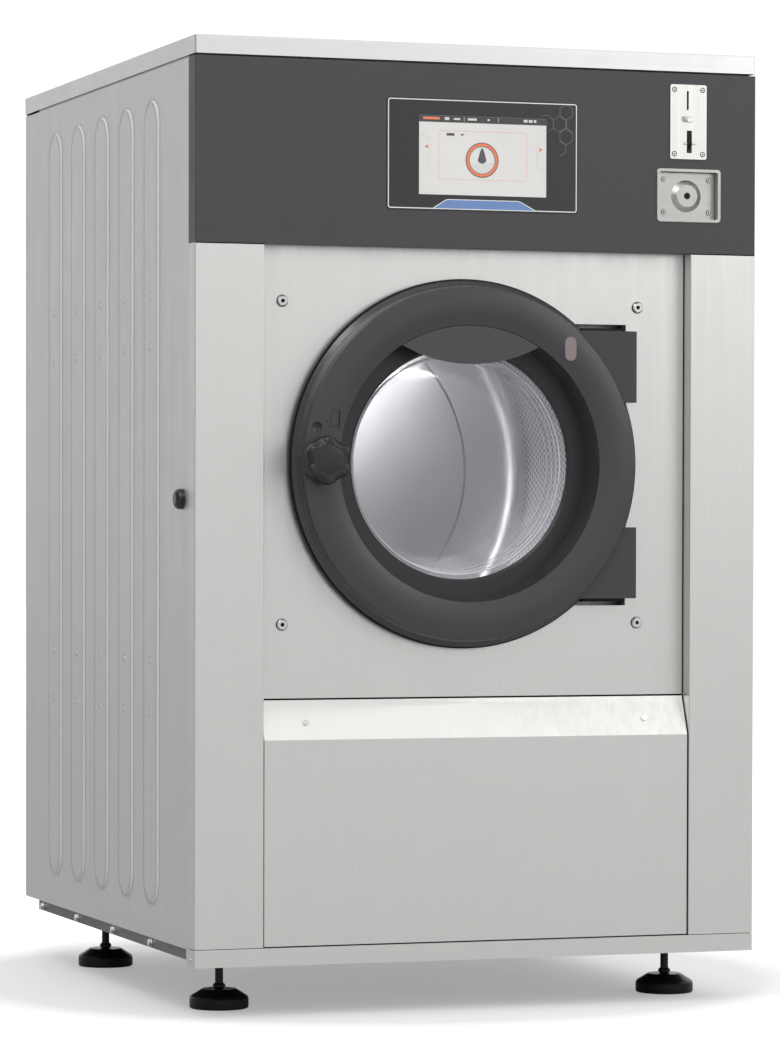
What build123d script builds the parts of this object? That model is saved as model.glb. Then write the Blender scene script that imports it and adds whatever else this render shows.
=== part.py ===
from build123d import *
import math
import os

# Coin-operated washing machine with a tub hung on springs, in millimetres.
# +X is to the right seen from the front, +Y runs from the front to the back, +Z is up.
# The origin is on the floor, under the middle of the box that holds the whole machine.
# Most sizes below are offsets from the cabinet's middle, sides, top or front face, or from the door's axis.

# Cabinet
cabinet_width = 880.0
cabinet_depth = 985.0
cabinet_height = 1423.0
sheet = 1.5
bend = 3.0
fit_gap = 0.3
overrun = 5.0

# Top panel and control fascia
lid_height = 27.0
shadow_gap = 3.0
fascia_height = 269.0
fascia_depth = 33.0
bend_edge = 0.6

# Base
base_clearance = 75.0
base_rail_height = 26.0
base_rail_depth = 42.0
base_rail_gap = 0.9
end_screw_radius = 2.6
end_screw_head = 1.0
end_screw_y = 20.0
frame_bottom = 83.0
frame_height = 60.0
frame_depth = 902.0
channel_width = 43.0
channel_wall = 3.0
bearer_width = 60.0
motor_bearer_y = 640.0

# Posts and rails behind the panels
post_size = 40.0
post_wall = 3.0
strut_width = 30.0
strut_depth = 26.0

# Side panels
side_sheet = 1.2
side_inset = 1.5
side_bottom = 98.6
side_flange = 20.0
rib_count = 5
rib_width = 78.0
rib_pitch_share = 0.142132
first_rib_share = 0.232487
rib_bottom = 149.0
rib_top_drop = 44.0
rib_rise = 2.5
rib_slope_angle = 45.0
dimple_radius = 4.0
dimple_rise = 1.2
dimple_shares = (0.2388, 0.3038, 0.6933, 0.7567)
rail_bolt_shares = (0.2605, 0.4911, 0.7273, 0.9656)
rail_bolt_z = 90.6
rail_bolt_head = 4.0
rail_bolt_flat_radius = 5.0
rail_washer = 1.2
rail_washer_radius = 6.5
rail_bolt_shank_radius = 3.0
rail_bolt_shank = 12.0
cap_y = 68.0
cap_height_share = 0.529867
cap_radius = 15.0
cap_dome = 11.0
cap_stem_radius = 6.0
cap_round = 8.0
cap_stem = 8.0

# Front columns, front panel and lower service panel
column_width = 105.0
column_gap = 0.5
recess = 25.0
column_inner_return = 45.0
column_back_flange = 20.0
seam_share = 0.324666
seam_gap = 1.5
panel_side_flange = 15.0
panel_overlap = 40.0
bevel_height = 58.0
lower_panel_inset = 3.0
lower_panel_gap = 0.8
lower_panel_depth = 38.0
service_screw_inset = 68.0
service_screw_radius = 4.4
service_screw_head = 2.0
service_screw_drop = 34.0
service_screw_shank_radius = 2.0
service_screw_length = 10.0
panel_bolt_x_share = 0.834328
panel_bolt_z_share = 0.356495
panel_bolt_radius = 8.0
panel_bolt_head = 4.0
panel_bolt_shank_radius = 4.0
panel_bolt_length = 22.0
panel_bolt_socket_radius = 2.9
panel_bolt_round = 1.6

# Feet
foot_inset_x = 82.0
front_foot_y = 146.0
rear_foot_y = 777.0
foot_radius = 44.0
foot_side_height = 17.0
foot_top_radius = 25.5
foot_height = 28.5
foot_chamfer = 1.8
collar_radius = 9.3
collar_height = 8.0
collar_round = 2.5
stem_radius = 6.0
stem_top = 128.0
stem_socket_radius = 5.0
stem_socket_depth = 8.0
locknut_flat_radius = 9.5
locknut_height = 7.0
foot_boss_radius = 14.0
foot_boss_height = 12.0

# Door axis: to the left of the cabinet's middle, and up the front panel from its lower seam
door_offset = -20.5
door_height_share = 0.521148
panel_hole_radius = 228.0

# Door ring, as radii from the door's axis and depths from the cabinet's front face
ring_inner_radius = 204.0
ring_outer_radius = 260.0
ring_shoulder_radius = 264.0
ring_band_radius = 270.0
flange_radius = 272.7
ring_face = -15.0
ring_crown = 2.5
ring_edge_round = 2.5
ring_wall = 4.0
ring_side_depth = -9.0
ring_shoulder_depth = 3.0
ring_band_depth = 8.0
plate_front = 13.3
plate_thickness = 6.2
throat_radius = 199.2
throat_depth = 30.0
hub_radius = 212.0
hub_inner_radius = 206.0
hub_depth = 49.0
hub_lip = 5.0
hub_lip_radius = 188.0
inner_ring_radius = 170.5
inner_ring_thickness = 7.4
inner_ring_slope = 3.5
glass_thickness = 6.0
glass_rim_radius = 205.7
glass_mouth_radius = 171.0
glass_end_radius = 146.0
glass_end_depth = 186.0
glass_corner = 34.0
visor_spread = 107.0
visor_tip_height = 173.0
visor_low_height = 146.5
visor_thickness = 4.0
visor_depth = -13.5
lamp_x = 155.7
lamp_z = 170.8
lamp_width = 18.0
lamp_height = 35.5
lamp_thickness = 5.5
lamp_proud = 0.4
button_x = -239.5
button_z = 51.7
button_radius = 7.5
button_clearance = 0.25
button_length = 20.0
button_sunk = 1.2
button_dish = 1.5

# Knob and latch cam
knob_orbit = 231.5
knob_rise = 3.1
knob_front = -55.0
knob_back = -34.0
knob_neck_radius = 15.0
knob_core_radius = 28.0
knob_lobe_radius = 9.5
knob_lobe_orbit = 25.5
knob_lobes = 6
knob_edge_round = 5.0
knob_gap = 0.5
shaft_radius = 6.0
running_clearance = 0.05
knob_boss_radius = 15.0
cam_depth = 46.0
cam_thickness = 6.0
cam_half_width = 5.0
cam_reach = 22.0
cam_tail = 6.0

# Door lock box on the tub, measured from the knob's axis
lock_left = 27.0
lock_right = 13.0
lock_low = 32.0
lock_high = 20.0
lock_front = 40.0
lock_wall = 3.0
lock_slot_left = 9.0
lock_slot_right = 7.5
lock_slot_margin = 2.0
latch_cut_left = 12.0
latch_cut_right = 10.0
tub_travel = 4.0
travel_margin = 1.5

# Hinges
hinge_x = 240.0
hinge_depth = 4.0
hinge_arm_radius = 9.0
hinge_arm_centre = 146.0
hinge_arm_half_height = 53.0
hinge_lug_half_height = 24.0
hinge_lug_radius = 6.5
hinge_pin_radius = 4.0
hinge_pocket_radius = 7.0
hinge_pocket_width = 18.0
hinge_wrap = 3.0
hinge_pocket_front = 7.0
hinge_web_shares = ((-0.51, -0.51), (-1.56, 0.44), (-1.56, 2.33), (-0.33, 2.33), (-0.28, 0.67))
hinge_arm_root = 60.0
hinge_bracket_wall = 8.0
hinge_bracket_front = 22.0
hinge_bracket_left = 170.0
hinge_bracket_right = 232.0
hinge_bracket_low = 110.0
hinge_bracket_high = 204.0
hinge_arm_inner_radius = 212.0
slot_left = 157.0
slot_right = 240.5
slot_low = 100.0
slot_high = 210.0

# Tub, its neck and its saddles
tub_radius = 378.0
tub_wall = 3.0
tub_front = 72.0
tub_back = 770.0
tub_rim = 8.0
neck_radius = 217.0
neck_front = 52.0
gasket_inner_radius = 189.0
gasket_front = 49.5
gasket_lip = 5.0
saddle_thickness = 12.0
saddle_side_gap = 90.0
saddle_drop = 44.0
saddle_top_share = 0.65344
seat_size = 84.0
seat_thickness = 6.0
fill_cup_y = 620.0
fill_cup_radius = 30.0
fill_cup_wall = 2.5
fill_cup_rise = 27.0
fill_cup_root = 20.0
rear_plate_thickness = 6.0
rear_plate_hole = 60.0

# Springs and dampers
spring_inset = 122.0
spring_radius = 30.0
spring_wire_radius = 4.5
spring_turns = 7
spring_cup_radius = 38.0
spring_cup_height = 6.0
damper_inset = 200.0
damper_radius = 18.0
damper_wall = 4.0
damper_top_share = 0.64876
damper_cap_share = 0.08264
damper_rod_radius = 6.0
damper_piston_radius = 13.7
damper_piston_height_share = 0.05785
damper_piston_share = 0.31818

# Drum, spider and bearings
drum_radius = 351.5
drum_sheet = 1.5
drum_front = 95.0
drum_depth = 607.0
drum_mouth_radius = 205.0
drum_lip_radius = 5.0
drum_disc_radius = 250.0
drum_disc_sink = 6.0
drum_corner = 30.0
lifter_count = 3
lifter_height = 85.0
lifter_base = 55.0
lifter_tip = 22.0
lifter_inset = 60.0
lifter_wall = 2.5
lifter_start_angle = 90.0
spider_arm_width = 46.0
spider_arm_depth = 26.0
spider_arm_reach = 325.0
spider_hub_radius = 58.0
spider_gap = 12.0
drive_shaft_radius = 35.0
drive_shaft_end = 958.0
housing_radius = 78.0
housing_flange_radius = 150.0
housing_flange = 14.0
housing_end = 900.0
housing_rib_thickness = 12.0
housing_ribs = 6
bearing_radius = 62.5
bearing_width = 30.0
bearing_inset = 8.0
bearing_fit = 0.05
seal_lip = 0.1

# Drive
pulley_front = 914.0
pulley_width = 36.0
drum_pulley_radius = 220.0
motor_pulley_radius = 55.0
pulley_groove = 8.0
pulley_rim = 4.0
pulley_bore_wall = 16.0
pulley_web = 10.0
pulley_window_radius = 46.0
pulley_window_orbit = 128.0
pulley_windows = 5
belt_thickness = 9.0
motor_drop = 95.0
motor_radius = 85.0
motor_front = 540.0
motor_back = 800.0
motor_shaft_radius = 14.0
motor_cap_radius = 64.0
motor_cap = 26.0
motor_fin = 4.0
motor_fins = 24
motor_fin_width = 3.0
motor_plate_half_width = 92.0
motor_plate = 8.0
motor_foot_width = 30.0
motor_web = 8.0
motor_shaft_bore_play = 0.06

# Drain
drain_x = -170.0
drain_y = 335.0
drain_pipe_share = 0.447059
drain_pipe_wall = 3.0
drain_valve_top_share = 0.653846
drain_valve_bottom_share = 0.339161
drain_valve_width = 112.0
drain_valve_depth = 96.0
collector_half_width = 60.0
collector_front = 250.0
collector_back = 420.0
collector_top_share = 0.297203
collector_wall = 3.0
drain_outlet_share = 0.164336
drain_outlet_reach = 60.0
drain_bead_rise = 2.0
drain_bead = 4.0
drain_bead_start = 6.0

# Water inlets, at the back
inlet_count = 3
inlet_pitch = 70.0
inlet_inset = 190.0
inlet_rise = 68.0
inlet_thread_radius = 13.2
inlet_bore_radius = 8.0
inlet_reach = 24.0
inlet_body_width = 44.0
inlet_body_depth = 62.0
inlet_body_height = 50.0
inlet_flange_radius = 18.0
inlet_flange = 2.0
manifold_half = 16.0
fill_pipe_radius = 12.0
fill_pipe_wall = 2.0
fill_pipe_bend = 30.0
fill_nozzle_gap = 10.0

# Control parts
display_x = 2.0
display_drop = 162.2
display_width = 300.7
display_height = 164.4
display_proud = 0.8
display_corner = 5.0
display_cutout_margin = 6.0
display_plate = 4.0
screen_width = 200.2
screen_height = 116.0
screen_drop = 1.0
screen_sunk = 0.4
screen_thickness = 3.0
board_width = 270.0
board_height = 140.0
board_depth = 44.0
board_wall_round = 4.0
inverter_side_gap = 11.0
inverter_width = 126.0
inverter_front = 300.0
inverter_depth = 180.0
inverter_foot = 17.0
inverter_height = 240.0
gland_inset = 190.0
gland_drop = 133.0
gland_radius = 12.0
gland_bore = 6.5
gland_reach = 22.0
gland_nut_radius = 16.0
gland_nut = 8.0

# Coin plate and acceptor
coin_inset = 110.3
coin_drop = 102.3
coin_plate_width = 58.7
coin_plate_height = 111.3
coin_plate_thickness = 2.0
coin_plate_corner = 3.0
coin_plate_screw_x = 22.8
coin_plate_screw_z = 48.0
coin_screw_radius = 3.2
coin_screw_head = 1.0
coin_slot_x = -1.3
coin_slot_z = 32.1
coin_slot_width = 3.2
coin_slot_height = 28.8
tab_window_x = -1.6
tab_window_z = 3.6
tab_window_width = 20.7
tab_window_height = 8.6
tab_width = 12.0
tab_height = 7.8
tab_proud = 1.8
tab_flange = 1.0
tab_flange_margin = 2.0
return_x = 1.4
return_low = -46.4
return_high = -12.9
return_width = 8.3
return_corner = 0.6
flap_pin_z = -32.5
flap_pin_depth = -0.6
flap_pin_radius = 1.2
flap_pin_half_length = 13.5
flap_eye_radius = 2.0
flap_thickness = 1.4
flap_half_width = 3.7
flap_top_gap = 0.6
pin_saddle_radius = 2.4
pin_saddle_end = 9.5
acceptor_width = 52.0
acceptor_height = 106.0
acceptor_depth = 90.0
acceptor_front = 1.8
acceptor_screw_depth = 8.0
runway_depth = 70.0
mouth_depth = 30.0
mouth_margin = 0.5
coin_drop_width = 8.0
coin_drop_depth = 34.0
plate_cutout_margin = 3.0

# Coin box, its tray and its lock
tray_inset = 109.0
tray_drop = 212.3
tray_width = 104.0
tray_height = 80.3
tray_corner = 6.0
tray_rim = 2.0
tray_rim_round = 1.2
tray_opening_width = 94.0
tray_opening_height = 71.0
tray_opening_corner = 3.0
tray_wall = 1.5
tray_depth = 13.0
vault_end = 190.0
coin_box_end = 176.0
coin_box_front_margin = 0.6
coin_box_front = 3.0
coin_box_side_gap = 2.0
coin_box_wall = 2.0
coin_box_height_gap = 5.0
coin_box_screw_x = 36.5
coin_box_screw_z = 24.2
boss_radius = 24.0
boss_top_radius = 16.5
boss_height = 4.5
lock_plug_radius = 5.0
lock_plug_proud = 0.3
lock_plug_end = 21.0
keyway_width = 1.2
keyway_height = 6.0
keyway_depth = 8.0
coin_entry_half_width = 20.0
coin_entry_start = 33.0
coin_entry_end = 100.0
coin_cam_reach = 38.0
coin_cam_half_width = 4.0
coin_cam_front = 17.0
coin_cam_thickness = 3.0
coin_cam_slot_left = 24.0
coin_cam_slot_right = 6.0
coin_cam_slot_play = 1.0

# Rear panel
rear_sheet = 1.5
rear_opening_margin = 3.0
rear_cover_width = 520.0
rear_cover_gap = 9.0
rear_cover_drop = 200.0
rear_cover_rise = 3.0
rear_louvres = 8
louvre_width = 180.0
louvre_height = 5.0
louvre_pitch = 22.0
louvre_drop = 343.0

# Places worked out from the sizes above
front_reach = -knob_front
left_reach = cabinet_width / 2 + cap_dome
right_reach = cabinet_width / 2 - side_inset - side_sheet - fit_gap + rail_washer + rail_bolt_head
middle_x = (left_reach - right_reach) / 2
front_y = front_reach - (front_reach + cabinet_depth + drain_outlet_reach) / 2
rear_y = front_y + cabinet_depth
half_width = cabinet_width / 2
fascia_top = cabinet_height - lid_height - shadow_gap
fascia_bottom = fascia_top - fascia_height
seam_z = seam_share * cabinet_height
front_panel_height = fascia_bottom - seam_z
base_top = base_clearance + base_rail_height
column_bottom = base_top + base_rail_gap
column_inner = half_width - column_width
panel_half_width = column_inner - fit_gap
panel_y = front_y + recess
panel_back = panel_y + sheet
side_outer = half_width - side_inset
side_inner = side_outer - side_sheet
frame_side = side_inner - fit_gap
frame_top = frame_bottom + frame_height
rib_top = fascia_top - rib_top_drop
first_rib_y = first_rib_share * cabinet_depth
rib_pitch = rib_pitch_share * cabinet_depth
cap_z = cap_height_share * cabinet_height
dimple_heights = [rib_bottom + share * (rib_top - rib_bottom) for share in dimple_shares]
rail_bolt_places = [share * frame_depth for share in rail_bolt_shares]
front_bearer_y = front_foot_y
bearer_places = (front_bearer_y, motor_bearer_y, rear_foot_y)
saddle_places = (front_bearer_y, motor_bearer_y)
axis_x = middle_x + door_offset
axis_z = seam_z + door_height_share * front_panel_height
door_axis = Axis((axis_x, 0, axis_z), (0, 1, 0))
door_section_plane = Plane(origin=(axis_x, front_y, axis_z), x_dir=(1, 0, 0), z_dir=(0, 0, 1))
knob_x = axis_x - knob_orbit
knob_z = axis_z + knob_rise
pin_x = middle_x + hinge_x
pin_y = front_y + hinge_depth
plate_back = plate_front + plate_thickness
panel_bolt_spread_x = panel_bolt_x_share * column_inner
panel_bolt_spread_z = panel_bolt_z_share * front_panel_height
bolt_x_places = (axis_x - panel_bolt_spread_x, axis_x + panel_bolt_spread_x)
bolt_z_places = (axis_z - panel_bolt_spread_z, axis_z + panel_bolt_spread_z)
service_screw_spread = column_inner - service_screw_inset
service_screw_z = seam_z - service_screw_drop
tub_rear = tub_back + rear_plate_thickness
drum_back = drum_front + drum_depth
foot_spread_x = half_width - foot_inset_x
foot_places = [
    (middle_x + side * foot_spread_x, front_y + depth)
    for depth in (front_foot_y, rear_foot_y)
    for side in (-1, 1)
]
tub_bottom = axis_z - tub_radius
saddle_half_width = half_width - saddle_side_gap
saddle_bottom = tub_bottom - saddle_drop
saddle_top = axis_z - saddle_top_share * tub_radius
spring_x = half_width - spring_inset
damper_x = half_width - damper_inset
damper_space = saddle_bottom - frame_top
damper_top = frame_top + damper_top_share * damper_space
damper_cap = damper_cap_share * damper_space
damper_piston_z = frame_top + damper_piston_share * damper_space
damper_piston_height = damper_piston_height_share * damper_space
spring_foot = frame_top + spring_cup_height / 2
spring_places = [
    (middle_x + side * spring_x, front_y + depth) for depth in saddle_places for side in (-1, 1)
]
damper_places = [
    (middle_x + side * damper_x, front_y + depth) for depth in saddle_places for side in (-1, 1)
]
display_z = cabinet_height - display_drop
screen_z = display_z - screen_drop
coin_plate_x = middle_x + half_width - coin_inset
coin_z = cabinet_height - coin_drop
vault_x = middle_x + half_width - tray_inset
tray_z = cabinet_height - tray_drop
motor_z = saddle_bottom - motor_drop
drain_space = tub_bottom - frame_top
drain_valve_top = frame_top + drain_valve_top_share * drain_space
drain_valve_bottom = frame_top + drain_valve_bottom_share * drain_space
collector_top = frame_top + collector_top_share * drain_space
drain_outlet_z = frame_top + drain_outlet_share * drain_space
drain_pipe_radius = drain_pipe_share * (collector_top - frame_top)
drain_bead_radius = drain_pipe_radius + drain_bead_rise
fill_cup_top = axis_z + tub_radius + fill_cup_rise
fill_nozzle_z = fill_cup_top + fill_nozzle_gap
inlet_z = fill_nozzle_z + inlet_rise
inlet_start = middle_x - half_width + inlet_inset
inlet_places = [inlet_start + number * inlet_pitch for number in range(inlet_count)]
power_x = middle_x + half_width - gland_inset
gland_z = cabinet_height - gland_drop
louvre_bottom = cabinet_height - louvre_drop
cover_low = drain_outlet_z + drain_pipe_radius + rear_opening_margin + rear_cover_gap
cover_top = louvre_bottom - rear_cover_drop


# Shared shapes

def block(low, high, mode=Mode.ADD):
    """A box between two opposite corners, in the part that is being built."""
    with Locations(Vector(*low)):
        Box(*[b - a for a, b in zip(low, high)], align=(Align.MIN, Align.MIN, Align.MIN), mode=mode)


def bar_along_y(x, z, start, end, radius, mode=Mode.ADD):
    """A round bar from front to back."""
    with Locations(Location((x, start, z), (-90, 0, 0))):
        Cylinder(radius, end - start, align=(Align.CENTER, Align.CENTER, Align.MIN), mode=mode)


def bar_along_x(y, z, start, end, radius, mode=Mode.ADD):
    """A round bar from left to right."""
    with Locations(Location((start, y, z), (0, 90, 0))):
        Cylinder(radius, end - start, align=(Align.CENTER, Align.CENTER, Align.MIN), mode=mode)


def bar_along_z(x, y, start, end, radius, mode=Mode.ADD):
    """An upright round bar."""
    with Locations((x, y, start)):
        Cylinder(radius, end - start, align=(Align.CENTER, Align.CENTER, Align.MIN), mode=mode)


def facing(x, y, z):
    """A plane that faces the front, with its origin at the given point."""
    return Plane(origin=(x, y, z), x_dir=(1, 0, 0), z_dir=(0, -1, 0))


def facing_turned(x, y, z, angle):
    """The same plane, turned in itself, anticlockwise as seen from the front."""
    turn = math.radians(angle)
    return Plane(origin=(x, y, z), x_dir=(math.cos(turn), 0, math.sin(turn)), z_dir=(0, -1, 0))


def section_along_y(x, z, points):
    """A closed outline of (radius, depth) points; depths start at the cabinet's front face."""
    with BuildSketch(Plane(origin=(x, front_y, z), x_dir=(1, 0, 0), z_dir=(0, 0, 1))) as section:
        with BuildLine():
            Polyline(*points, close=True)
        make_face()
    return section.sketch


def turn_along_y(x, z, points, mode=Mode.ADD):
    """A solid turned about an axis that runs from front to back."""
    revolve(section_along_y(x, z, points), axis=Axis((x, 0, z), (0, 1, 0)), mode=mode)


def upright_section(x, y, points, edge_points=(), edge=0):
    """A closed outline of (radius, height) points, with some of its corners chamfered."""
    with BuildSketch(facing(x, y, 0)) as section:
        with BuildLine():
            Polyline(*points, close=True)
        make_face()
        for point in edge_points:
            chamfer(section.vertices().sort_by_distance(point)[0], length=edge)
    return section.sketch


def plan_outline(z, points):
    """A closed outline seen from above."""
    with BuildSketch(Plane.XY.offset(z)) as outline:
        with BuildLine():
            Polyline(*points, close=True)
        make_face()
    return outline.sketch


def side_outline(x, points):
    """A closed outline of (y, z) points, seen from the right."""
    with BuildSketch(Plane(origin=(x, 0, 0), x_dir=(0, 1, 0), z_dir=(1, 0, 0))) as outline:
        with BuildLine():
            Polyline(*points, close=True)
        make_face()
    return outline.sketch


def rounded_plate(x, y, z, width, height, corner):
    """A rounded rectangle that faces the front."""
    with BuildSketch(facing(x, y, z)) as outline:
        RectangleRounded(width, height, corner)
    return outline.sketch


def pill(x, y, z, length, height, rotation=0):
    """A round-ended outline that faces the front."""
    with BuildSketch(facing(x, y, z)) as outline:
        SlotOverall(length, height, rotation=rotation)
    return outline.sketch


def hexagon(plane, flat_radius):
    """A hexagon, sized to its flats."""
    with BuildSketch(plane) as outline:
        RegularPolygon(flat_radius, 6, major_radius=False)
    return outline.sketch


# Base and posts

with BuildPart() as base_frame:
    for side in (-1, 1):
        outer = middle_x + side * frame_side
        inner = middle_x + side * (frame_side - channel_width)
        block((min(outer, inner), front_y + base_rail_depth, frame_bottom),
              (max(outer, inner), front_y + frame_depth, frame_top))
        inner_web = middle_x + side * (frame_side - channel_wall)
        hollow_edge = middle_x + side * (frame_side - channel_width - overrun)
        block((min(inner_web, hollow_edge), front_y, frame_bottom + channel_wall),
              (max(inner_web, hollow_edge), rear_y, frame_top - channel_wall), mode=Mode.SUBTRACT)
    bearer_half = frame_side - channel_width - fit_gap
    cross_places = (*bearer_places, base_rail_depth + bearer_width / 2, frame_depth - bearer_width / 2)
    for place in cross_places:
        y = front_y + place
        block((middle_x - bearer_half, y - bearer_width / 2, frame_bottom),
              (middle_x + bearer_half, y + bearer_width / 2, frame_top))
        hollow_half = bearer_half + overrun
        block((middle_x - hollow_half, y - bearer_width / 2 + channel_wall, frame_bottom + channel_wall),
              (middle_x + hollow_half, y + bearer_width / 2 - channel_wall, frame_top - channel_wall),
              mode=Mode.SUBTRACT)
    for x, y in foot_places:
        bar_along_z(x, y, frame_bottom - foot_boss_height, frame_bottom, foot_boss_radius)
        bar_along_z(x, y, 0, stem_top + overrun, stem_radius + running_clearance, mode=Mode.SUBTRACT)
    for x, y in spring_places:
        bar_along_z(x, y, frame_top, frame_top + spring_cup_height, spring_cup_radius)
        bar_along_z(x, y, spring_foot, frame_top + spring_cup_height + overrun,
                    spring_radius + spring_wire_radius + fit_gap, mode=Mode.SUBTRACT)
    for place in rail_bolt_places:
        bar_along_x(front_y + place, rail_bolt_z, middle_x - frame_side - overrun,
                    middle_x + frame_side + overrun, rail_bolt_shank_radius + running_clearance,
                    mode=Mode.SUBTRACT)
base_frame.part.label = "base_frame"

with BuildPart() as cabinet_posts:
    rail_top = cabinet_height - sheet - fit_gap
    rail_foot = rail_top - post_size
    post_top = rail_foot - fit_gap
    for side in (-1, 1):
        outer = middle_x + side * frame_side
        inner = middle_x + side * (frame_side - post_size)
        wall = middle_x + side * (frame_side - post_wall)
        for start, web in ((base_rail_depth, 0), (frame_depth - post_size, post_size - post_wall)):
            y = front_y + start
            block((min(outer, wall), y, frame_top), (max(outer, wall), y + post_size, post_top))
            block((min(outer, inner), y + web, frame_top), (max(outer, inner), y + web + post_wall, post_top))
        block((min(outer, inner), front_y + base_rail_depth, rail_foot),
              (max(outer, inner), front_y + frame_depth, rail_top))
    rail_half = frame_side - post_size - fit_gap
    for start in (base_rail_depth, frame_depth - post_size):
        y = front_y + start
        block((middle_x - rail_half, y, rail_foot), (middle_x + rail_half, y + post_size, rail_top))
    for x in bolt_x_places:
        block((x - strut_width / 2, panel_back + fit_gap, frame_top),
              (x + strut_width / 2, panel_back + fit_gap + strut_depth, post_top))
    for x in bolt_x_places:
        for z in bolt_z_places:
            bar_along_y(x, z, panel_y, panel_back + strut_depth + overrun,
                        panel_bolt_shank_radius + running_clearance, mode=Mode.SUBTRACT)
    bar_along_x(front_y + cap_y, cap_z, middle_x - half_width, middle_x - frame_side + cap_stem + overrun,
                cap_stem_radius + fit_gap, mode=Mode.SUBTRACT)
cabinet_posts.part.label = "cabinet_posts"

with BuildPart() as base_front_rail:
    block((middle_x - half_width, front_y, base_clearance),
          (middle_x + half_width, front_y + base_rail_depth - fit_gap, base_top))
    fillet(base_front_rail.edges().filter_by(Axis.Z).group_by(Axis.Y)[0], radius=bend / 2)
    block((middle_x - half_width + sheet, front_y + sheet, base_clearance - overrun),
          (middle_x + half_width - sheet, front_y + base_rail_depth + overrun, base_top - sheet),
          mode=Mode.SUBTRACT)
    rail_middle_z = base_clearance + base_rail_height * 2 / 5
    for side in (-1, 1):
        start = middle_x + side * half_width
        tip = start + side * end_screw_head
        bar_along_x(front_y + end_screw_y, rail_middle_z, min(start, tip), max(start, tip), end_screw_radius)
base_front_rail.part.label = "base_front_rail"

# Side panels, top and back

def side_panel(side):
    """One side panel: side is -1 on the left and 1 on the right."""
    outer = middle_x + side * side_outer
    inner = middle_x + side * side_inner
    start = front_y + fascia_depth + fit_gap
    end = rear_y - rear_sheet - fit_gap
    rib_length = rib_top - rib_bottom
    rib_middle = (rib_top + rib_bottom) / 2
    rib_places = [front_y + first_rib_y + number * rib_pitch for number in range(rib_count)]
    outward = Plane(origin=(outer, 0, 0), x_dir=(0, side, 0), z_dir=(side, 0, 0))
    inside = Plane(origin=(inner, 0, 0), x_dir=(0, side, 0), z_dir=(side, 0, 0))
    with BuildPart() as panel:
        block((min(outer, inner), start, side_bottom), (max(outer, inner), end, fascia_top - fit_gap))
        flange_inner = middle_x + side * (side_inner - side_flange)
        block((min(inner, flange_inner), end - side_sheet, frame_top + fit_gap),
              (max(inner, flange_inner), end, fascia_top - fit_gap))
        for y in rib_places:
            with BuildSketch(outward):
                with Locations((side * y, rib_middle)):
                    SlotOverall(rib_length, rib_width, rotation=90)
            extrude(amount=rib_rise, taper=rib_slope_angle)
        for y in rib_places:
            with BuildSketch(inside):
                with Locations((side * y, rib_middle)):
                    SlotOverall(rib_length - side_sheet, rib_width - side_sheet, rotation=90)
            extrude(amount=rib_rise, taper=rib_slope_angle, mode=Mode.SUBTRACT)
        for y in rib_places:
            for z in dimple_heights:
                with Locations(Location((outer + side * rib_rise, y, z), (0, side * 90, 0))):
                    Cone(dimple_radius, dimple_radius / 2, dimple_rise,
                         align=(Align.CENTER, Align.CENTER, Align.MIN))
        block((min(outer, inner) - overrun, front_y, side_bottom - overrun),
              (max(outer, inner) + overrun, front_y + base_rail_depth, base_top + fit_gap), mode=Mode.SUBTRACT)
        if side < 0:
            bar_along_x(front_y + cap_y, cap_z, min(outer, inner) - overrun, max(outer, inner) + overrun,
                        cap_stem_radius + fit_gap, mode=Mode.SUBTRACT)
    return panel.part


side_panel_left = side_panel(-1)
side_panel_left.label = "side_panel_left"
side_panel_right = side_panel(1)
side_panel_right.label = "side_panel_right"

with BuildPart() as top_panel:
    block((middle_x - half_width, front_y, cabinet_height - lid_height),
          (middle_x + half_width, rear_y, cabinet_height))
    fillet(top_panel.edges().filter_by(Axis.Z), radius=bend)
    fillet(top_panel.faces().sort_by(Axis.Z)[-1].edges(), radius=bend / 2)
    block((middle_x - half_width + sheet, front_y + sheet, cabinet_height - lid_height - overrun),
          (middle_x + half_width - sheet, rear_y - sheet, cabinet_height - sheet), mode=Mode.SUBTRACT)
top_panel.part.label = "top_panel"

with BuildPart() as rear_panel:
    back_inner = rear_y - rear_sheet
    back_half = side_inner - fit_gap
    block((middle_x - back_half, back_inner, side_bottom),
          (middle_x + back_half, rear_y, cabinet_height - lid_height - fit_gap))
    block((middle_x - back_half, back_inner - side_flange, side_bottom),
          (middle_x + back_half, back_inner, side_bottom + rear_sheet))
    block((middle_x - rear_cover_width / 2, rear_y, cover_low),
          (middle_x + rear_cover_width / 2, rear_y + rear_cover_rise, cover_top))
    block((middle_x - rear_cover_width / 2 + rear_sheet, back_inner - overrun, cover_low + rear_sheet),
          (middle_x + rear_cover_width / 2 - rear_sheet, rear_y + rear_cover_rise - rear_sheet,
           cover_top - rear_sheet), mode=Mode.SUBTRACT)
    for number in range(rear_louvres):
        z = louvre_bottom + number * louvre_pitch
        extrude(pill(middle_x, back_inner - overrun, z, louvre_width, louvre_height),
                amount=-rear_sheet - 2 * overrun, mode=Mode.SUBTRACT)
    for x in inlet_places:
        bar_along_y(x, inlet_z, back_inner - overrun, rear_y + overrun,
                    inlet_thread_radius + rear_opening_margin, mode=Mode.SUBTRACT)
    bar_along_y(power_x, gland_z, back_inner - overrun, rear_y + overrun,
                gland_radius + fit_gap, mode=Mode.SUBTRACT)
    bar_along_y(middle_x + drain_x, drain_outlet_z, back_inner - overrun, rear_y + rear_cover_rise + overrun,
                drain_pipe_radius + rear_opening_margin, mode=Mode.SUBTRACT)
rear_panel.part.label = "rear_panel"

# Front of the cabinet

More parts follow.
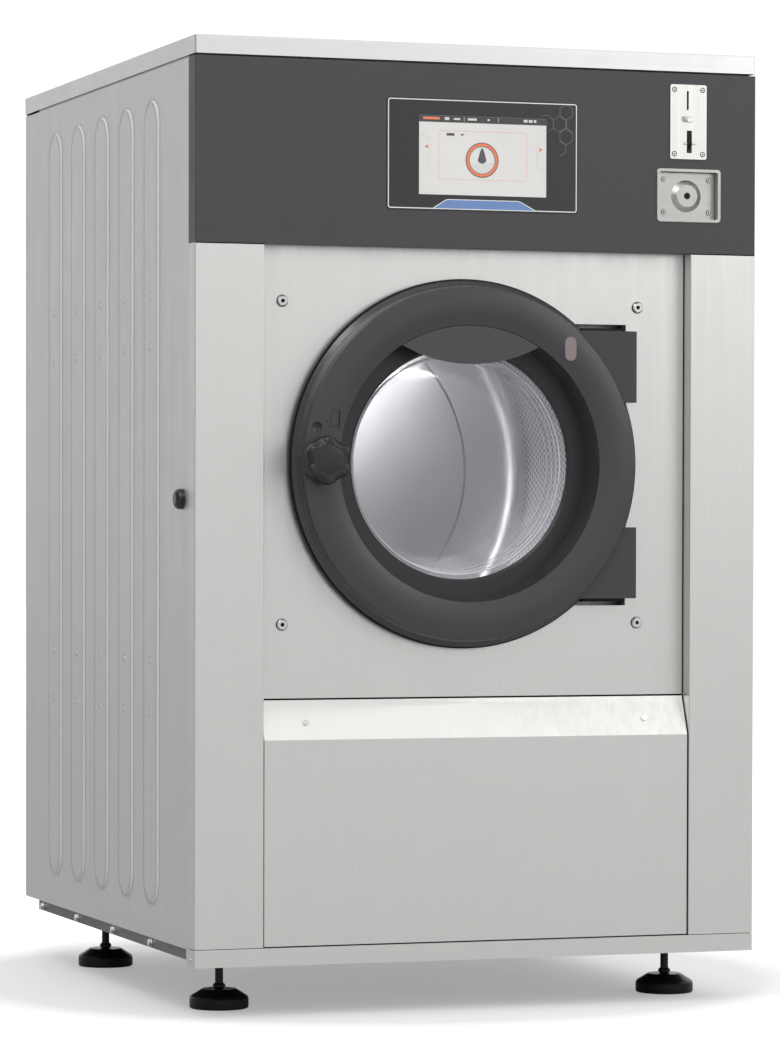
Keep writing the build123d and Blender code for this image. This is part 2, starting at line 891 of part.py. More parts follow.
def front_column(side):
    """One front column: side is -1 on the left and 1 on the right."""
    outer = middle_x + side * half_width
    inner = middle_x + side * column_inner
    low = min(outer, inner)
    high = max(outer, inner)
    lip = middle_x + side * (column_inner + column_back_flange)
    inner_web = middle_x + side * (column_inner + sheet)
    top = fascia_bottom - column_gap
    flange_y = front_y + column_inner_return
    with BuildPart() as column:
        block((low, front_y, column_bottom), (high, front_y + fascia_depth, top))
        fillet(column.edges().filter_by(Axis.Z).group_by(Axis.Y)[0], radius=sheet)
        block((low + sheet, front_y + sheet, column_bottom - overrun),
              (high - sheet, front_y + fascia_depth + overrun, top + overrun), mode=Mode.SUBTRACT)
        block((min(inner, inner_web), front_y + fascia_depth, column_bottom),
              (max(inner, inner_web), flange_y, top))
        block((min(inner, lip), flange_y - sheet, column_bottom), (max(inner, lip), flange_y, top))
        block((low - overrun, front_y + base_rail_depth - fit_gap, column_bottom - overrun),
              (high + overrun, flange_y + overrun, frame_top + fit_gap), mode=Mode.SUBTRACT)
    return column.part


front_column_left = front_column(-1)
front_column_left.label = "front_column_left"
front_column_right = front_column(1)
front_column_right.label = "front_column_right"

with BuildPart() as front_panel:
    panel_left = middle_x - panel_half_width
    panel_right = middle_x + panel_half_width
    panel_bottom = seam_z + seam_gap / 2
    flange_back = panel_y + panel_side_flange
    block((panel_left, panel_y, panel_bottom), (panel_right, panel_back, fascia_bottom + panel_overlap))
    block((panel_left, panel_y, panel_bottom), (panel_right, flange_back, panel_bottom + sheet))
    for start in (panel_left, panel_right - sheet):
        block((start, panel_y, panel_bottom),
              (start + sheet, flange_back, fascia_bottom - column_gap))
    for x in bolt_x_places:
        block((x - strut_width / 2 - fit_gap, panel_back, panel_bottom - overrun),
              (x + strut_width / 2 + fit_gap, flange_back + overrun, panel_bottom + sheet + overrun),
              mode=Mode.SUBTRACT)
        for z in bolt_z_places:
            bar_along_y(x, z, panel_y - overrun, panel_back + overrun,
                        panel_bolt_shank_radius + running_clearance, mode=Mode.SUBTRACT)
    bar_along_y(axis_x, axis_z, panel_y - overrun, panel_back + overrun, panel_hole_radius,
                mode=Mode.SUBTRACT)
    latch_room = tub_travel + 2 * travel_margin
    block((knob_x - latch_cut_left, panel_y - overrun, knob_z - cam_reach - latch_room),
          (knob_x + latch_cut_right, panel_back + overrun, knob_z + cam_tail + latch_room),
          mode=Mode.SUBTRACT)
    for side in (-1, 1):
        low = axis_z + min(side * slot_low, side * slot_high)
        high = axis_z + max(side * slot_low, side * slot_high)
        block((middle_x + slot_left, panel_y - overrun, low),
              (middle_x + slot_right, panel_back + overrun, high), mode=Mode.SUBTRACT)
front_panel.part.label = "front_panel"

with BuildPart() as lower_service_panel:
    lower_half = column_inner - lower_panel_gap
    lower_front = front_y + lower_panel_inset
    lower_top = seam_z - seam_gap / 2
    bevel_foot = lower_top - bevel_height
    lower_back = lower_front + lower_panel_depth
    lower_outline = (
        (panel_y, lower_top), (lower_front, bevel_foot), (lower_front, column_bottom),
        (lower_back, column_bottom), (lower_back, lower_top),
    )
    extrude(side_outline(middle_x - lower_half, lower_outline), amount=2 * lower_half)
    hollow_outline = offset(side_outline(middle_x - lower_half + sheet, lower_outline),
                            amount=-sheet, kind=Kind.INTERSECTION, mode=Mode.PRIVATE)
    extrude(hollow_outline, amount=2 * (lower_half - sheet), mode=Mode.SUBTRACT)
    block((middle_x - lower_half + sheet, lower_back - sheet - fit_gap, column_bottom + sheet),
          (middle_x + lower_half - sheet, lower_back + overrun, lower_top - sheet), mode=Mode.SUBTRACT)
    for x in bolt_x_places:
        block((x - strut_width / 2 - fit_gap, panel_back, lower_top - sheet - overrun),
              (x + strut_width / 2 + fit_gap, lower_back + overrun, lower_top + overrun), mode=Mode.SUBTRACT)
    bevel_angle = math.degrees(math.atan2(recess - lower_panel_inset, bevel_height))
    bevel_slope = (recess - lower_panel_inset) / bevel_height
    service_screw_y = lower_front + (service_screw_z - bevel_foot) * bevel_slope
    service_screw_places = [
        Location((middle_x + side * service_screw_spread, service_screw_y, service_screw_z),
                 (90 - bevel_angle, 0, 0))
        for side in (-1, 1)
    ]
    with Locations(service_screw_places):
        Cylinder(service_screw_shank_radius + running_clearance, 2 * overrun, mode=Mode.SUBTRACT)
lower_service_panel.part.label = "lower_service_panel"

with BuildPart() as control_fascia:
    block((middle_x - half_width, front_y, fascia_bottom),
          (middle_x + half_width, front_y + fascia_depth, fascia_top))
    fillet(control_fascia.edges().filter_by(Axis.Z).group_by(Axis.Y)[0], radius=sheet)
    fillet(control_fascia.faces().sort_by(Axis.Y)[0].edges(), radius=bend_edge)
    block((middle_x - half_width + sheet, front_y + sheet, fascia_bottom + sheet),
          (middle_x + half_width - sheet, front_y + fascia_depth + overrun, fascia_top - sheet),
          mode=Mode.SUBTRACT)
    block((middle_x - half_width + sheet, panel_y - sheet + fit_gap, fascia_bottom - overrun),
          (middle_x + half_width - sheet, front_y + fascia_depth + overrun, fascia_top + overrun),
          mode=Mode.SUBTRACT)
    fascia_cutouts = (
        (middle_x + display_x, display_z, display_width - 2 * display_cutout_margin,
         display_height - 2 * display_cutout_margin),
        (coin_plate_x, coin_z, coin_plate_width - 2 * plate_cutout_margin,
         coin_plate_height - 2 * plate_cutout_margin),
        (vault_x, tray_z, tray_opening_width + 2 * (tray_wall + fit_gap),
         tray_opening_height + 2 * (tray_wall + fit_gap)),
    )
    for x, z, width, height in fascia_cutouts:
        block((x - width / 2, front_y - overrun, z - height / 2),
              (x + width / 2, front_y + sheet + overrun, z + height / 2), mode=Mode.SUBTRACT)
control_fascia.part.label = "control_fascia"

# Display and its electronics

with BuildPart() as display_bezel:
    bezel_x = middle_x + display_x
    inner_margin = 2 * (display_cutout_margin + fit_gap)
    extrude(rounded_plate(bezel_x, front_y - display_proud, display_z, display_width, display_height,
                          display_corner), amount=-display_proud)
    extrude(rounded_plate(bezel_x, front_y, display_z, display_width - inner_margin,
                          display_height - inner_margin, display_corner),
            amount=display_proud - display_plate)
    block((bezel_x - screen_width / 2 - running_clearance, front_y - overrun,
           screen_z - screen_height / 2 - running_clearance),
          (bezel_x + screen_width / 2 + running_clearance, front_y + display_plate + overrun,
           screen_z + screen_height / 2 + running_clearance), mode=Mode.SUBTRACT)
display_bezel.part.label = "display_bezel"

with BuildPart() as display_screen:
    screen_front = front_y - display_proud + screen_sunk
    block((bezel_x - screen_width / 2, screen_front, screen_z - screen_height / 2),
          (bezel_x + screen_width / 2, screen_front + screen_thickness, screen_z + screen_height / 2))
display_screen.part.label = "display_screen"

with BuildPart() as control_board_box:
    board_front = front_y + display_plate - display_proud + fit_gap
    board_low = (bezel_x - board_width / 2, board_front, display_z - board_height / 2)
    board_high = (bezel_x + board_width / 2, board_front + board_depth, display_z + board_height / 2)
    block(board_low, board_high)
    fillet(control_board_box.edges().filter_by(Axis.Y), radius=board_wall_round)
    block((board_low[0] + sheet, board_front - overrun, board_low[2] + sheet),
          (board_high[0] - sheet, board_high[1] - sheet, board_high[2] - sheet), mode=Mode.SUBTRACT)
    board_y = board_front + board_depth / 2
    board_edge = sheet + fit_gap
    block((board_low[0] + board_edge, board_y, board_low[2] + board_edge),
          (board_high[0] - board_edge, board_y + sheet, board_high[2] - board_edge))
control_board_box.part.label = "control_board_box"

# Coin plate, coin acceptor and the two small parts that move in it

with BuildPart() as coin_plate:
    plate_face = front_y - coin_plate_thickness
    return_middle_x = coin_plate_x + return_x
    extrude(rounded_plate(coin_plate_x, plate_face, coin_z, coin_plate_width, coin_plate_height,
                          coin_plate_corner), amount=-coin_plate_thickness)
    for side in (-1, 1):
        end = return_middle_x + side * pin_saddle_end
        bar_along_x(front_y + flap_pin_depth, coin_z + flap_pin_z, min(end, return_middle_x),
                    max(end, return_middle_x), pin_saddle_radius)
    block((coin_plate_x - coin_plate_width / 2, front_y, coin_z - coin_plate_height / 2),
          (coin_plate_x + coin_plate_width / 2, front_y + overrun, coin_z + coin_plate_height / 2),
          mode=Mode.SUBTRACT)
    extrude(pill(coin_plate_x + coin_slot_x, front_y - overrun, coin_z + coin_slot_z,
                 coin_slot_height, coin_slot_width, 90), amount=-2 * overrun, mode=Mode.SUBTRACT)
    extrude(pill(coin_plate_x + tab_window_x, front_y - overrun, coin_z + tab_window_z,
                 tab_window_width, tab_window_height), amount=-2 * overrun, mode=Mode.SUBTRACT)
    extrude(rounded_plate(return_middle_x, front_y - overrun, coin_z + (return_low + return_high) / 2,
                          return_width, return_high - return_low, return_corner),
            amount=-2 * overrun, mode=Mode.SUBTRACT)
    bar_along_x(front_y + flap_pin_depth, coin_z + flap_pin_z, return_middle_x - flap_pin_half_length,
                return_middle_x + flap_pin_half_length, flap_pin_radius)
    for x_side in (-1, 1):
        for z_side in (-1, 1):
            bar_along_y(coin_plate_x + x_side * coin_plate_screw_x, coin_z + z_side * coin_plate_screw_z,
                        plate_face - overrun, front_y + overrun,
                        coin_screw_radius / 2 + running_clearance, mode=Mode.SUBTRACT)
coin_plate.part.label = "coin_plate"

with BuildPart() as coin_acceptor:
    acceptor_y = front_y + acceptor_front
    block((coin_plate_x - acceptor_width / 2, acceptor_y, coin_z - acceptor_height / 2),
          (coin_plate_x + acceptor_width / 2, acceptor_y + acceptor_depth, coin_z + acceptor_height / 2))
    runway_x = coin_plate_x + coin_slot_x
    runway_top = coin_z + coin_slot_z + coin_slot_height / 2
    block((runway_x - coin_slot_width / 2, acceptor_y - overrun, runway_top - coin_slot_height),
          (runway_x + coin_slot_width / 2, front_y + runway_depth, runway_top), mode=Mode.SUBTRACT)
    block((runway_x - coin_drop_width / 2, front_y + runway_depth - coin_drop_depth,
           coin_z - acceptor_height / 2 - overrun),
          (runway_x + coin_drop_width / 2, front_y + runway_depth, runway_top), mode=Mode.SUBTRACT)
    block((return_middle_x - return_width / 2 - mouth_margin, acceptor_y - overrun,
           coin_z + return_low - mouth_margin),
          (return_middle_x + return_width / 2 + mouth_margin, front_y + mouth_depth,
           coin_z + return_high + mouth_margin), mode=Mode.SUBTRACT)
    for x_side in (-1, 1):
        for z_side in (-1, 1):
            bar_along_y(coin_plate_x + x_side * coin_plate_screw_x, coin_z + z_side * coin_plate_screw_z,
                        acceptor_y - overrun, front_y + acceptor_screw_depth + fit_gap,
                        coin_screw_radius / 2 + running_clearance, mode=Mode.SUBTRACT)
coin_acceptor.part.label = "coin_acceptor"

with BuildPart() as coin_release_slider:
    tab_x = coin_plate_x + tab_window_x + (tab_window_width - tab_width) / 2 - fit_gap
    tab_z = coin_z + tab_window_z
    extrude(pill(tab_x, plate_face - tab_proud, tab_z, tab_width, tab_height),
            amount=-(coin_plate_thickness + tab_proud + fit_gap))
    extrude(rounded_plate(tab_x, front_y + fit_gap, tab_z, tab_width + 2 * tab_flange_margin,
                          tab_height + 2 * tab_flange_margin, tab_flange_margin), amount=-tab_flange)
    chamfer(coin_release_slider.faces().sort_by(Axis.Y)[0].edges(), length=mouth_margin)
coin_release_slider.part.label = "coin_release_slider"

with BuildPart() as coin_return_flap:
    flap_y = front_y + flap_pin_depth
    flap_axis_z = coin_z + flap_pin_z
    bar_along_x(flap_y, flap_axis_z, return_middle_x - flap_half_width, return_middle_x + flap_half_width,
                flap_eye_radius)
    block((return_middle_x - flap_half_width, flap_y - flap_thickness / 2, flap_axis_z),
          (return_middle_x + flap_half_width, flap_y + flap_thickness / 2,
           coin_z + return_high - flap_top_gap))
    bar_along_x(flap_y, flap_axis_z, return_middle_x - flap_half_width - overrun,
                return_middle_x + flap_half_width + overrun, flap_pin_radius + running_clearance,
                mode=Mode.SUBTRACT)
coin_return_flap.part.label = "coin_return_flap"

# Coin box, its sleeve and its lock

with BuildPart() as coin_box_tray:
    sleeve_half_x = tray_opening_width / 2
    sleeve_half_z = tray_opening_height / 2
    sleeve_end = front_y + vault_end
    extrude(rounded_plate(vault_x, front_y - tray_rim, tray_z, tray_width, tray_height, tray_corner),
            amount=-tray_rim)
    fillet(coin_box_tray.faces().sort_by(Axis.Y)[0].edges(), radius=tray_rim_round)
    block((vault_x - sleeve_half_x - tray_wall, front_y, tray_z - sleeve_half_z - tray_wall),
          (vault_x + sleeve_half_x + tray_wall, sleeve_end, tray_z + sleeve_half_z + tray_wall))
    extrude(rounded_plate(vault_x, front_y - tray_rim - overrun, tray_z, tray_opening_width,
                          tray_opening_height, tray_opening_corner),
            amount=-(overrun + tray_rim + vault_end - tray_wall), mode=Mode.SUBTRACT)
    block((vault_x - coin_entry_half_width, front_y + coin_entry_start, tray_z),
          (vault_x + coin_entry_half_width, front_y + coin_entry_end, tray_z + sleeve_half_z + overrun),
          mode=Mode.SUBTRACT)
    cam_slot_start = front_y + coin_cam_front - coin_cam_slot_play
    block((vault_x - coin_cam_slot_left, cam_slot_start, tray_z),
          (vault_x + coin_cam_slot_right, cam_slot_start + coin_cam_thickness + 2 * coin_cam_slot_play,
           tray_z + sleeve_half_z + overrun), mode=Mode.SUBTRACT)
coin_box_tray.part.label = "coin_box_tray"

with BuildPart() as coin_box:
    box_front = front_y + tray_depth - coin_box_front
    box_half_x = sleeve_half_x - coin_box_side_gap
    box_low_z = tray_z - sleeve_half_z + coin_box_front_margin
    extrude(rounded_plate(vault_x, box_front, tray_z, tray_opening_width - 2 * coin_box_front_margin,
                          tray_opening_height - 2 * coin_box_front_margin, tray_opening_corner),
            amount=-coin_box_front)
    block((vault_x - box_half_x, front_y + tray_depth, box_low_z),
          (vault_x + box_half_x, front_y + coin_box_end, tray_z + sleeve_half_z - coin_box_height_gap))
    block((vault_x - box_half_x + coin_box_wall, front_y + tray_depth, box_low_z + coin_box_wall),
          (vault_x + box_half_x - coin_box_wall, front_y + coin_box_end - coin_box_wall,
           tray_z + sleeve_half_z + overrun), mode=Mode.SUBTRACT)
    boss_face = tray_depth - coin_box_front - boss_height
    boss_foot = tray_depth - coin_box_front
    turn_along_y(vault_x, tray_z, (
        (0, boss_face), (boss_top_radius, boss_face), (boss_radius, boss_foot), (0, boss_foot)))
    bar_along_y(vault_x, tray_z, front_y - overrun, front_y + tray_depth + overrun,
                lock_plug_radius + running_clearance, mode=Mode.SUBTRACT)
    for x_side in (-1, 1):
        for z_side in (-1, 1):
            x = vault_x + x_side * coin_box_screw_x
            z = tray_z + z_side * coin_box_screw_z
            bar_along_y(x, z, box_front - coin_screw_head, box_front, coin_screw_radius)
            with Locations(Location((x, box_front - coin_screw_head, z), (90, 0, 0))):
                Cone(0, coin_screw_radius / 2, coin_screw_head, mode=Mode.SUBTRACT)
coin_box.part.label = "coin_box"

with BuildPart() as coin_lock_cylinder:
    plug_front = front_y + boss_face - lock_plug_proud
    bar_along_y(vault_x, tray_z, plug_front, front_y + lock_plug_end, lock_plug_radius)
    block((vault_x - coin_cam_reach, front_y + coin_cam_front, tray_z - coin_cam_half_width),
          (vault_x, front_y + coin_cam_front + coin_cam_thickness, tray_z + coin_cam_half_width))
    block((vault_x - keyway_width / 2, plug_front - overrun, tray_z - keyway_height / 2),
          (vault_x + keyway_width / 2, plug_front + keyway_depth, tray_z + keyway_height / 2),
          mode=Mode.SUBTRACT)
coin_lock_cylinder.part.label = "coin_lock_cylinder"

# Small fittings and screws

with BuildPart() as service_cap:
    cap_seat = middle_x - side_outer
    bar_along_x(front_y + cap_y, cap_z, middle_x - half_width - cap_dome, cap_seat, cap_radius)
    fillet(service_cap.faces().sort_by(Axis.X)[0].edges(), radius=cap_round)
    bar_along_x(front_y + cap_y, cap_z, cap_seat, cap_seat + cap_stem, cap_stem_radius)
service_cap.part.label = "service_cap"

with BuildPart() as panel_bolts:
    for x in bolt_x_places:
        for z in bolt_z_places:
            turn_along_y(x, z, (
                (0, recess - panel_bolt_head),
                (panel_bolt_radius - panel_bolt_round, recess - panel_bolt_head),
                (panel_bolt_radius, recess - panel_bolt_head + panel_bolt_round),
                (panel_bolt_radius, recess), (panel_bolt_shank_radius, recess),
                (panel_bolt_shank_radius, recess + panel_bolt_length), (0, recess + panel_bolt_length)))
            socket_plane = facing(x, front_y + recess - panel_bolt_head - overrun, z)
            extrude(hexagon(socket_plane, panel_bolt_socket_radius),
                    amount=-(overrun + panel_bolt_head / 2), mode=Mode.SUBTRACT)
panel_bolts.part.label = "panel_bolts"

with BuildPart() as rail_bolts:
    for side in (-1, 1):
        seat = middle_x + side * frame_side
        washer_face = seat + side * rail_washer
        for place in rail_bolt_places:
            y = front_y + place
            bar_along_x(y, rail_bolt_z, min(seat, washer_face), max(seat, washer_face), rail_washer_radius)
            head_plane = Plane(origin=(washer_face, y, rail_bolt_z), x_dir=(0, side, 0), z_dir=(side, 0, 0))
            extrude(hexagon(head_plane, rail_bolt_flat_radius), amount=rail_bolt_head)
            tip = seat - side * rail_bolt_shank
            bar_along_x(y, rail_bolt_z, min(seat, tip), max(seat, tip), rail_bolt_shank_radius)
rail_bolts.part.label = "rail_bolts"

with BuildPart() as small_screws:
    for x_side in (-1, 1):
        for z_side in (-1, 1):
            x = coin_plate_x + x_side * coin_plate_screw_x
            z = coin_z + z_side * coin_plate_screw_z
            turn_along_y(x, z, (
                (0, -coin_plate_thickness - coin_screw_head / 2),
                (coin_screw_radius / 4, -coin_plate_thickness - coin_screw_head),
                (coin_screw_radius * 3 / 4, -coin_plate_thickness - coin_screw_head),
                (coin_screw_radius, -coin_plate_thickness), (coin_screw_radius / 2, -coin_plate_thickness),
                (coin_screw_radius / 2, acceptor_screw_depth), (0, acceptor_screw_depth)))
    with Locations(service_screw_places):
        Cylinder(service_screw_radius, service_screw_head, align=(Align.CENTER, Align.CENTER, Align.MIN))
        Cylinder(service_screw_shank_radius, service_screw_length,
                 align=(Align.CENTER, Align.CENTER, Align.MAX))
small_screws.part.label = "small_screws"

# Feet

with BuildPart() as foot_pads:
    socket_floor = foot_height - stem_socket_depth
    for x, y in foot_places:
        pad = upright_section(x, y, (
            (0, 0), (foot_radius, 0), (foot_radius, foot_side_height), (foot_top_radius, foot_height),
            (stem_socket_radius + fit_gap, foot_height), (stem_socket_radius + fit_gap, socket_floor),
            (0, socket_floor)),
            ((foot_radius, 0), (foot_radius, foot_side_height)), foot_chamfer)
        revolve(pad, axis=Axis((x, y, 0), (0, 0, 1)))
foot_pads.part.label = "foot_pads"

with BuildPart() as foot_stems:
    collar_foot = foot_height + fit_gap
    nut_foot = frame_bottom - foot_boss_height - locknut_height
    for x, y in foot_places:
        stem = upright_section(x, y, (
            (0, socket_floor + fit_gap), (stem_socket_radius, socket_floor + fit_gap),
            (stem_socket_radius, collar_foot), (collar_radius, collar_foot),
            (collar_radius, collar_foot + collar_height), (stem_radius, collar_foot + collar_height),
            (stem_radius, stem_top), (0, stem_top)),
            ((collar_radius, collar_foot), (collar_radius, collar_foot + collar_height)), collar_round)
        revolve(stem, axis=Axis((x, y, 0), (0, 0, 1)))
    for x, y in foot_places:
        extrude(hexagon(Plane(origin=(x, y, nut_foot)), locknut_flat_radius), amount=locknut_height)
    for x, y in foot_places:
        collar_end = collar_foot + collar_height
        turn = upright_section(x, y, (
            (stem_radius, collar_end), (stem_radius + running_clearance, collar_end),
            (stem_radius + running_clearance, stem_top), (stem_radius, stem_top)))
        revolve(turn, axis=Axis((x, y, 0), (0, 0, 1)), mode=Mode.SUBTRACT)
foot_stems.part.label = "foot_stems"

# Tub

with BuildPart() as tub_shell:
    bar_along_y(axis_x, axis_z, front_y + tub_front, front_y + tub_back, tub_radius)
    for place in saddle_places:
        with BuildSketch(facing(middle_x, front_y + place - saddle_thickness / 2, 0)):
            with BuildLine():
                saddle_shoulder = saddle_bottom + seat_size / 2
                Polyline((-saddle_half_width, saddle_bottom), (saddle_half_width, saddle_bottom),
                         (saddle_half_width, saddle_shoulder), (saddle_half_width - seat_size / 2, saddle_top),
                         (seat_size / 2 - saddle_half_width, saddle_top),
                         (-saddle_half_width, saddle_shoulder), close=True)
            make_face()
        extrude(amount=-saddle_thickness)
    for x, y in spring_places:
        block((x - seat_size / 2, y - seat_size / 2, saddle_bottom - seat_thickness),
              (x + seat_size / 2, y + seat_size / 2, saddle_bottom))
    plate_front_y = front_y + motor_front
    block((axis_x - motor_plate_half_width, plate_front_y, saddle_bottom - motor_plate),
          (axis_x + motor_plate_half_width, front_y + tub_back, saddle_bottom))
    for start in (-motor_plate_half_width, motor_plate_half_width - motor_web):
        block((axis_x + start, front_y + motor_bearer_y + saddle_thickness / 2, saddle_bottom),
              (axis_x + start + motor_web, front_y + tub_back, axis_z - tub_radius + motor_plate_half_width))
    bar_along_z(axis_x, front_y + fill_cup_y, axis_z + tub_radius - fill_cup_root, fill_cup_top,
                fill_cup_radius)
    bar_along_y(axis_x, axis_z, front_y + tub_front - overrun, front_y + tub_back + overrun,
                tub_radius - tub_wall, mode=Mode.SUBTRACT)
    bar_along_z(axis_x, front_y + fill_cup_y, axis_z, fill_cup_top + overrun,
                fill_cup_radius - fill_cup_wall, mode=Mode.SUBTRACT)
    bar_along_z(middle_x + drain_x, front_y + drain_y, drain_valve_top, axis_z - tub_radius / 2,
                drain_pipe_radius - drain_pipe_wall, mode=Mode.SUBTRACT)
tub_shell.part.label = "tub_shell"

with BuildPart() as tub_front_plate:
    plate_rim = tub_radius + tub_rim
    plate_face = tub_front - tub_wall
    turn_along_y(axis_x, axis_z, (
        (neck_radius - tub_wall, neck_front), (neck_radius, neck_front), (neck_radius, plate_face),
        (plate_rim, plate_face), (plate_rim, tub_front), (neck_radius - tub_wall, tub_front)))
tub_front_plate.part.label = "tub_front_plate"

with BuildPart() as tub_rear_plate:
    turn_along_y(axis_x, axis_z, (
        (rear_plate_hole, tub_back), (plate_rim, tub_back), (plate_rim, tub_rear),
        (rear_plate_hole, tub_rear)))
tub_rear_plate.part.label = "tub_rear_plate"

with BuildPart() as door_gasket:
    gasket_outer = neck_radius - tub_wall - running_clearance
    turn_along_y(axis_x, axis_z, (
        (gasket_inner_radius, gasket_front), (gasket_outer, gasket_front), (gasket_outer, tub_front),
        (gasket_outer - gasket_lip, tub_front), (gasket_outer - gasket_lip, gasket_front + gasket_lip),
        (gasket_inner_radius, gasket_front + gasket_lip)))
    fillet(door_gasket.edges().filter_by(GeomType.CIRCLE).sort_by(SortBy.RADIUS)[:2], radius=gasket_lip / 3)
door_gasket.part.label = "door_gasket"

with BuildPart() as hinge_brackets:
    hinge_web = [(pin_x + x_share * hinge_arm_radius, pin_y + y_share * hinge_arm_radius)
                 for x_share, y_share in hinge_web_shares]
    for side in (-1, 1):
        low = axis_z + min(side * hinge_bracket_low, side * hinge_bracket_high)
        high = axis_z + max(side * hinge_bracket_low, side * hinge_bracket_high)
        lug_middle = axis_z + side * hinge_arm_centre
        lug_low = lug_middle - hinge_lug_half_height
        lug_high = lug_middle + hinge_lug_half_height
        block((middle_x + hinge_bracket_left, front_y + hinge_bracket_front, low),
              (middle_x + hinge_bracket_right, front_y + plate_face, high))
        block((middle_x + hinge_bracket_left + hinge_bracket_wall,
               front_y + hinge_bracket_front + hinge_bracket_wall, low + hinge_bracket_wall),
              (middle_x + hinge_bracket_right - hinge_bracket_wall, front_y + plate_face + overrun,
               high - hinge_bracket_wall), mode=Mode.SUBTRACT)
        extrude(plan_outline(lug_low, hinge_web), amount=lug_high - lug_low)
        bar_along_z(pin_x, pin_y, lug_low, lug_high, hinge_lug_radius)
        bar_along_z(pin_x, pin_y, lug_low - overrun, lug_high + overrun, hinge_pin_radius, mode=Mode.SUBTRACT)
hinge_brackets.part.label = "hinge_brackets"

with BuildPart() as hinge_pins:
    for side in (-1, 1):
        pin_middle = axis_z + side * hinge_arm_centre
        bar_along_z(pin_x, pin_y, pin_middle - hinge_arm_half_height + fit_gap,
                    pin_middle + hinge_arm_half_height - fit_gap, hinge_pin_radius)
hinge_pins.part.label = "hinge_pins"

with BuildPart() as door_lock_box:
    block((knob_x - lock_left, front_y + lock_front, knob_z - lock_low),
          (knob_x + lock_right, front_y + plate_face, knob_z + lock_high))
    block((knob_x - lock_left + lock_wall, front_y + lock_front + lock_wall, knob_z - lock_low + lock_wall),
          (knob_x + lock_right - lock_wall, front_y + plate_face - lock_wall, knob_z + lock_high - lock_wall),
          mode=Mode.SUBTRACT)
    block((knob_x - lock_slot_left, front_y + lock_front - overrun, knob_z - cam_reach - lock_slot_margin),
          (knob_x + lock_slot_right, front_y + lock_front + lock_wall + overrun,
           knob_z + cam_tail + lock_slot_margin), mode=Mode.SUBTRACT)
door_lock_box.part.label = "door_lock_box"

# Springs and dampers under the tub

with BuildPart() as suspension_springs:
    spring_seat = saddle_bottom - seat_thickness
    helix_foot = spring_foot + spring_wire_radius
    helix_height = spring_seat - spring_foot - 2 * spring_wire_radius
    with BuildLine(Plane(origin=(0, 0, helix_foot))) as coil:
        Helix(pitch=helix_height / spring_turns, height=helix_height, radius=spring_radius)
    with BuildSketch(Plane(origin=coil.line @ 0, z_dir=coil.line % 0)) as wire:
        Circle(spring_wire_radius)
    spring = sweep(wire.sketch, path=coil.line, mode=Mode.PRIVATE)
    with Locations(*[(x, y, 0) for x, y in spring_places]):
        add(spring)
suspension_springs.part.label = "suspension_springs"

with BuildPart() as damper_bodies:
    for x, y in damper_places:
        bar_along_z(x, y, frame_top, damper_top, damper_radius)
        bar_along_z(x, y, frame_top + damper_wall, damper_top - damper_cap,
                    damper_radius - damper_wall, mode=Mode.SUBTRACT)
        bar_along_z(x, y, damper_top - damper_cap - overrun, damper_top + overrun,
                    damper_rod_radius + running_clearance, mode=Mode.SUBTRACT)
damper_bodies.part.label = "damper_bodies"

with BuildPart() as damper_rods:
    for x, y in damper_places:
        bar_along_z(x, y, damper_piston_z, saddle_bottom, damper_rod_radius)
        bar_along_z(x, y, damper_piston_z, damper_piston_z + damper_piston_height, damper_piston_radius)
damper_rods.part.label = "damper_rods"

# Bearings, drum and drive

with BuildPart() as bearing_housing:
    flange_end = tub_rear + housing_flange
    turn_along_y(axis_x, axis_z, (
        (bearing_radius, tub_rear), (housing_flange_radius, tub_rear), (housing_flange_radius, flange_end),
        (housing_radius, flange_end), (housing_radius, housing_end), (bearing_radius, housing_end)))
    for number in range(housing_ribs):
        angle = 360 / housing_ribs * (number + 1 / 2)
        along = math.cos(math.radians(angle))
        rise = math.sin(math.radians(angle))
        rib_plane = Plane(origin=(axis_x, front_y, axis_z), x_dir=(along, 0, rise), z_dir=(rise, 0, -along))
        with BuildSketch(rib_plane):
            with BuildLine():
                Polyline((housing_radius - housing_rib_thickness, -flange_end + housing_flange / 2),
                         (housing_flange_radius - housing_rib_thickness, -flange_end + housing_flange / 2),
                         (housing_flange_radius - housing_rib_thickness, -flange_end - housing_flange / 2),
                         (housing_radius - housing_rib_thickness, -housing_end + housing_flange), close=True)
            make_face()
        extrude(amount=housing_rib_thickness / 2, both=True)
    bar_along_y(axis_x, axis_z, front_y + tub_rear - overrun, front_y + housing_end + overrun, bearing_radius,
                mode=Mode.SUBTRACT)
bearing_housing.part.label = "bearing_housing"

with BuildPart() as bearings_and_seal:
    race_outer = bearing_radius - bearing_fit
    race_inner = drive_shaft_radius + bearing_fit
    first_bearing = tub_rear + bearing_inset
    last_bearing = housing_end - bearing_inset / 2 - bearing_width
    for start in (first_bearing, last_bearing):
        turn_along_y(axis_x, axis_z, (
            (race_inner, start), (race_outer, start), (race_outer, start + bearing_width),
            (race_inner, start + bearing_width)))
    turn_along_y(axis_x, axis_z, (
        (drive_shaft_radius + seal_lip, tub_rear + fit_gap), (race_outer, tub_rear + fit_gap),
        (race_outer, first_bearing - fit_gap), (drive_shaft_radius + seal_lip, first_bearing - fit_gap)))
bearings_and_seal.part.label = "bearings_and_seal"

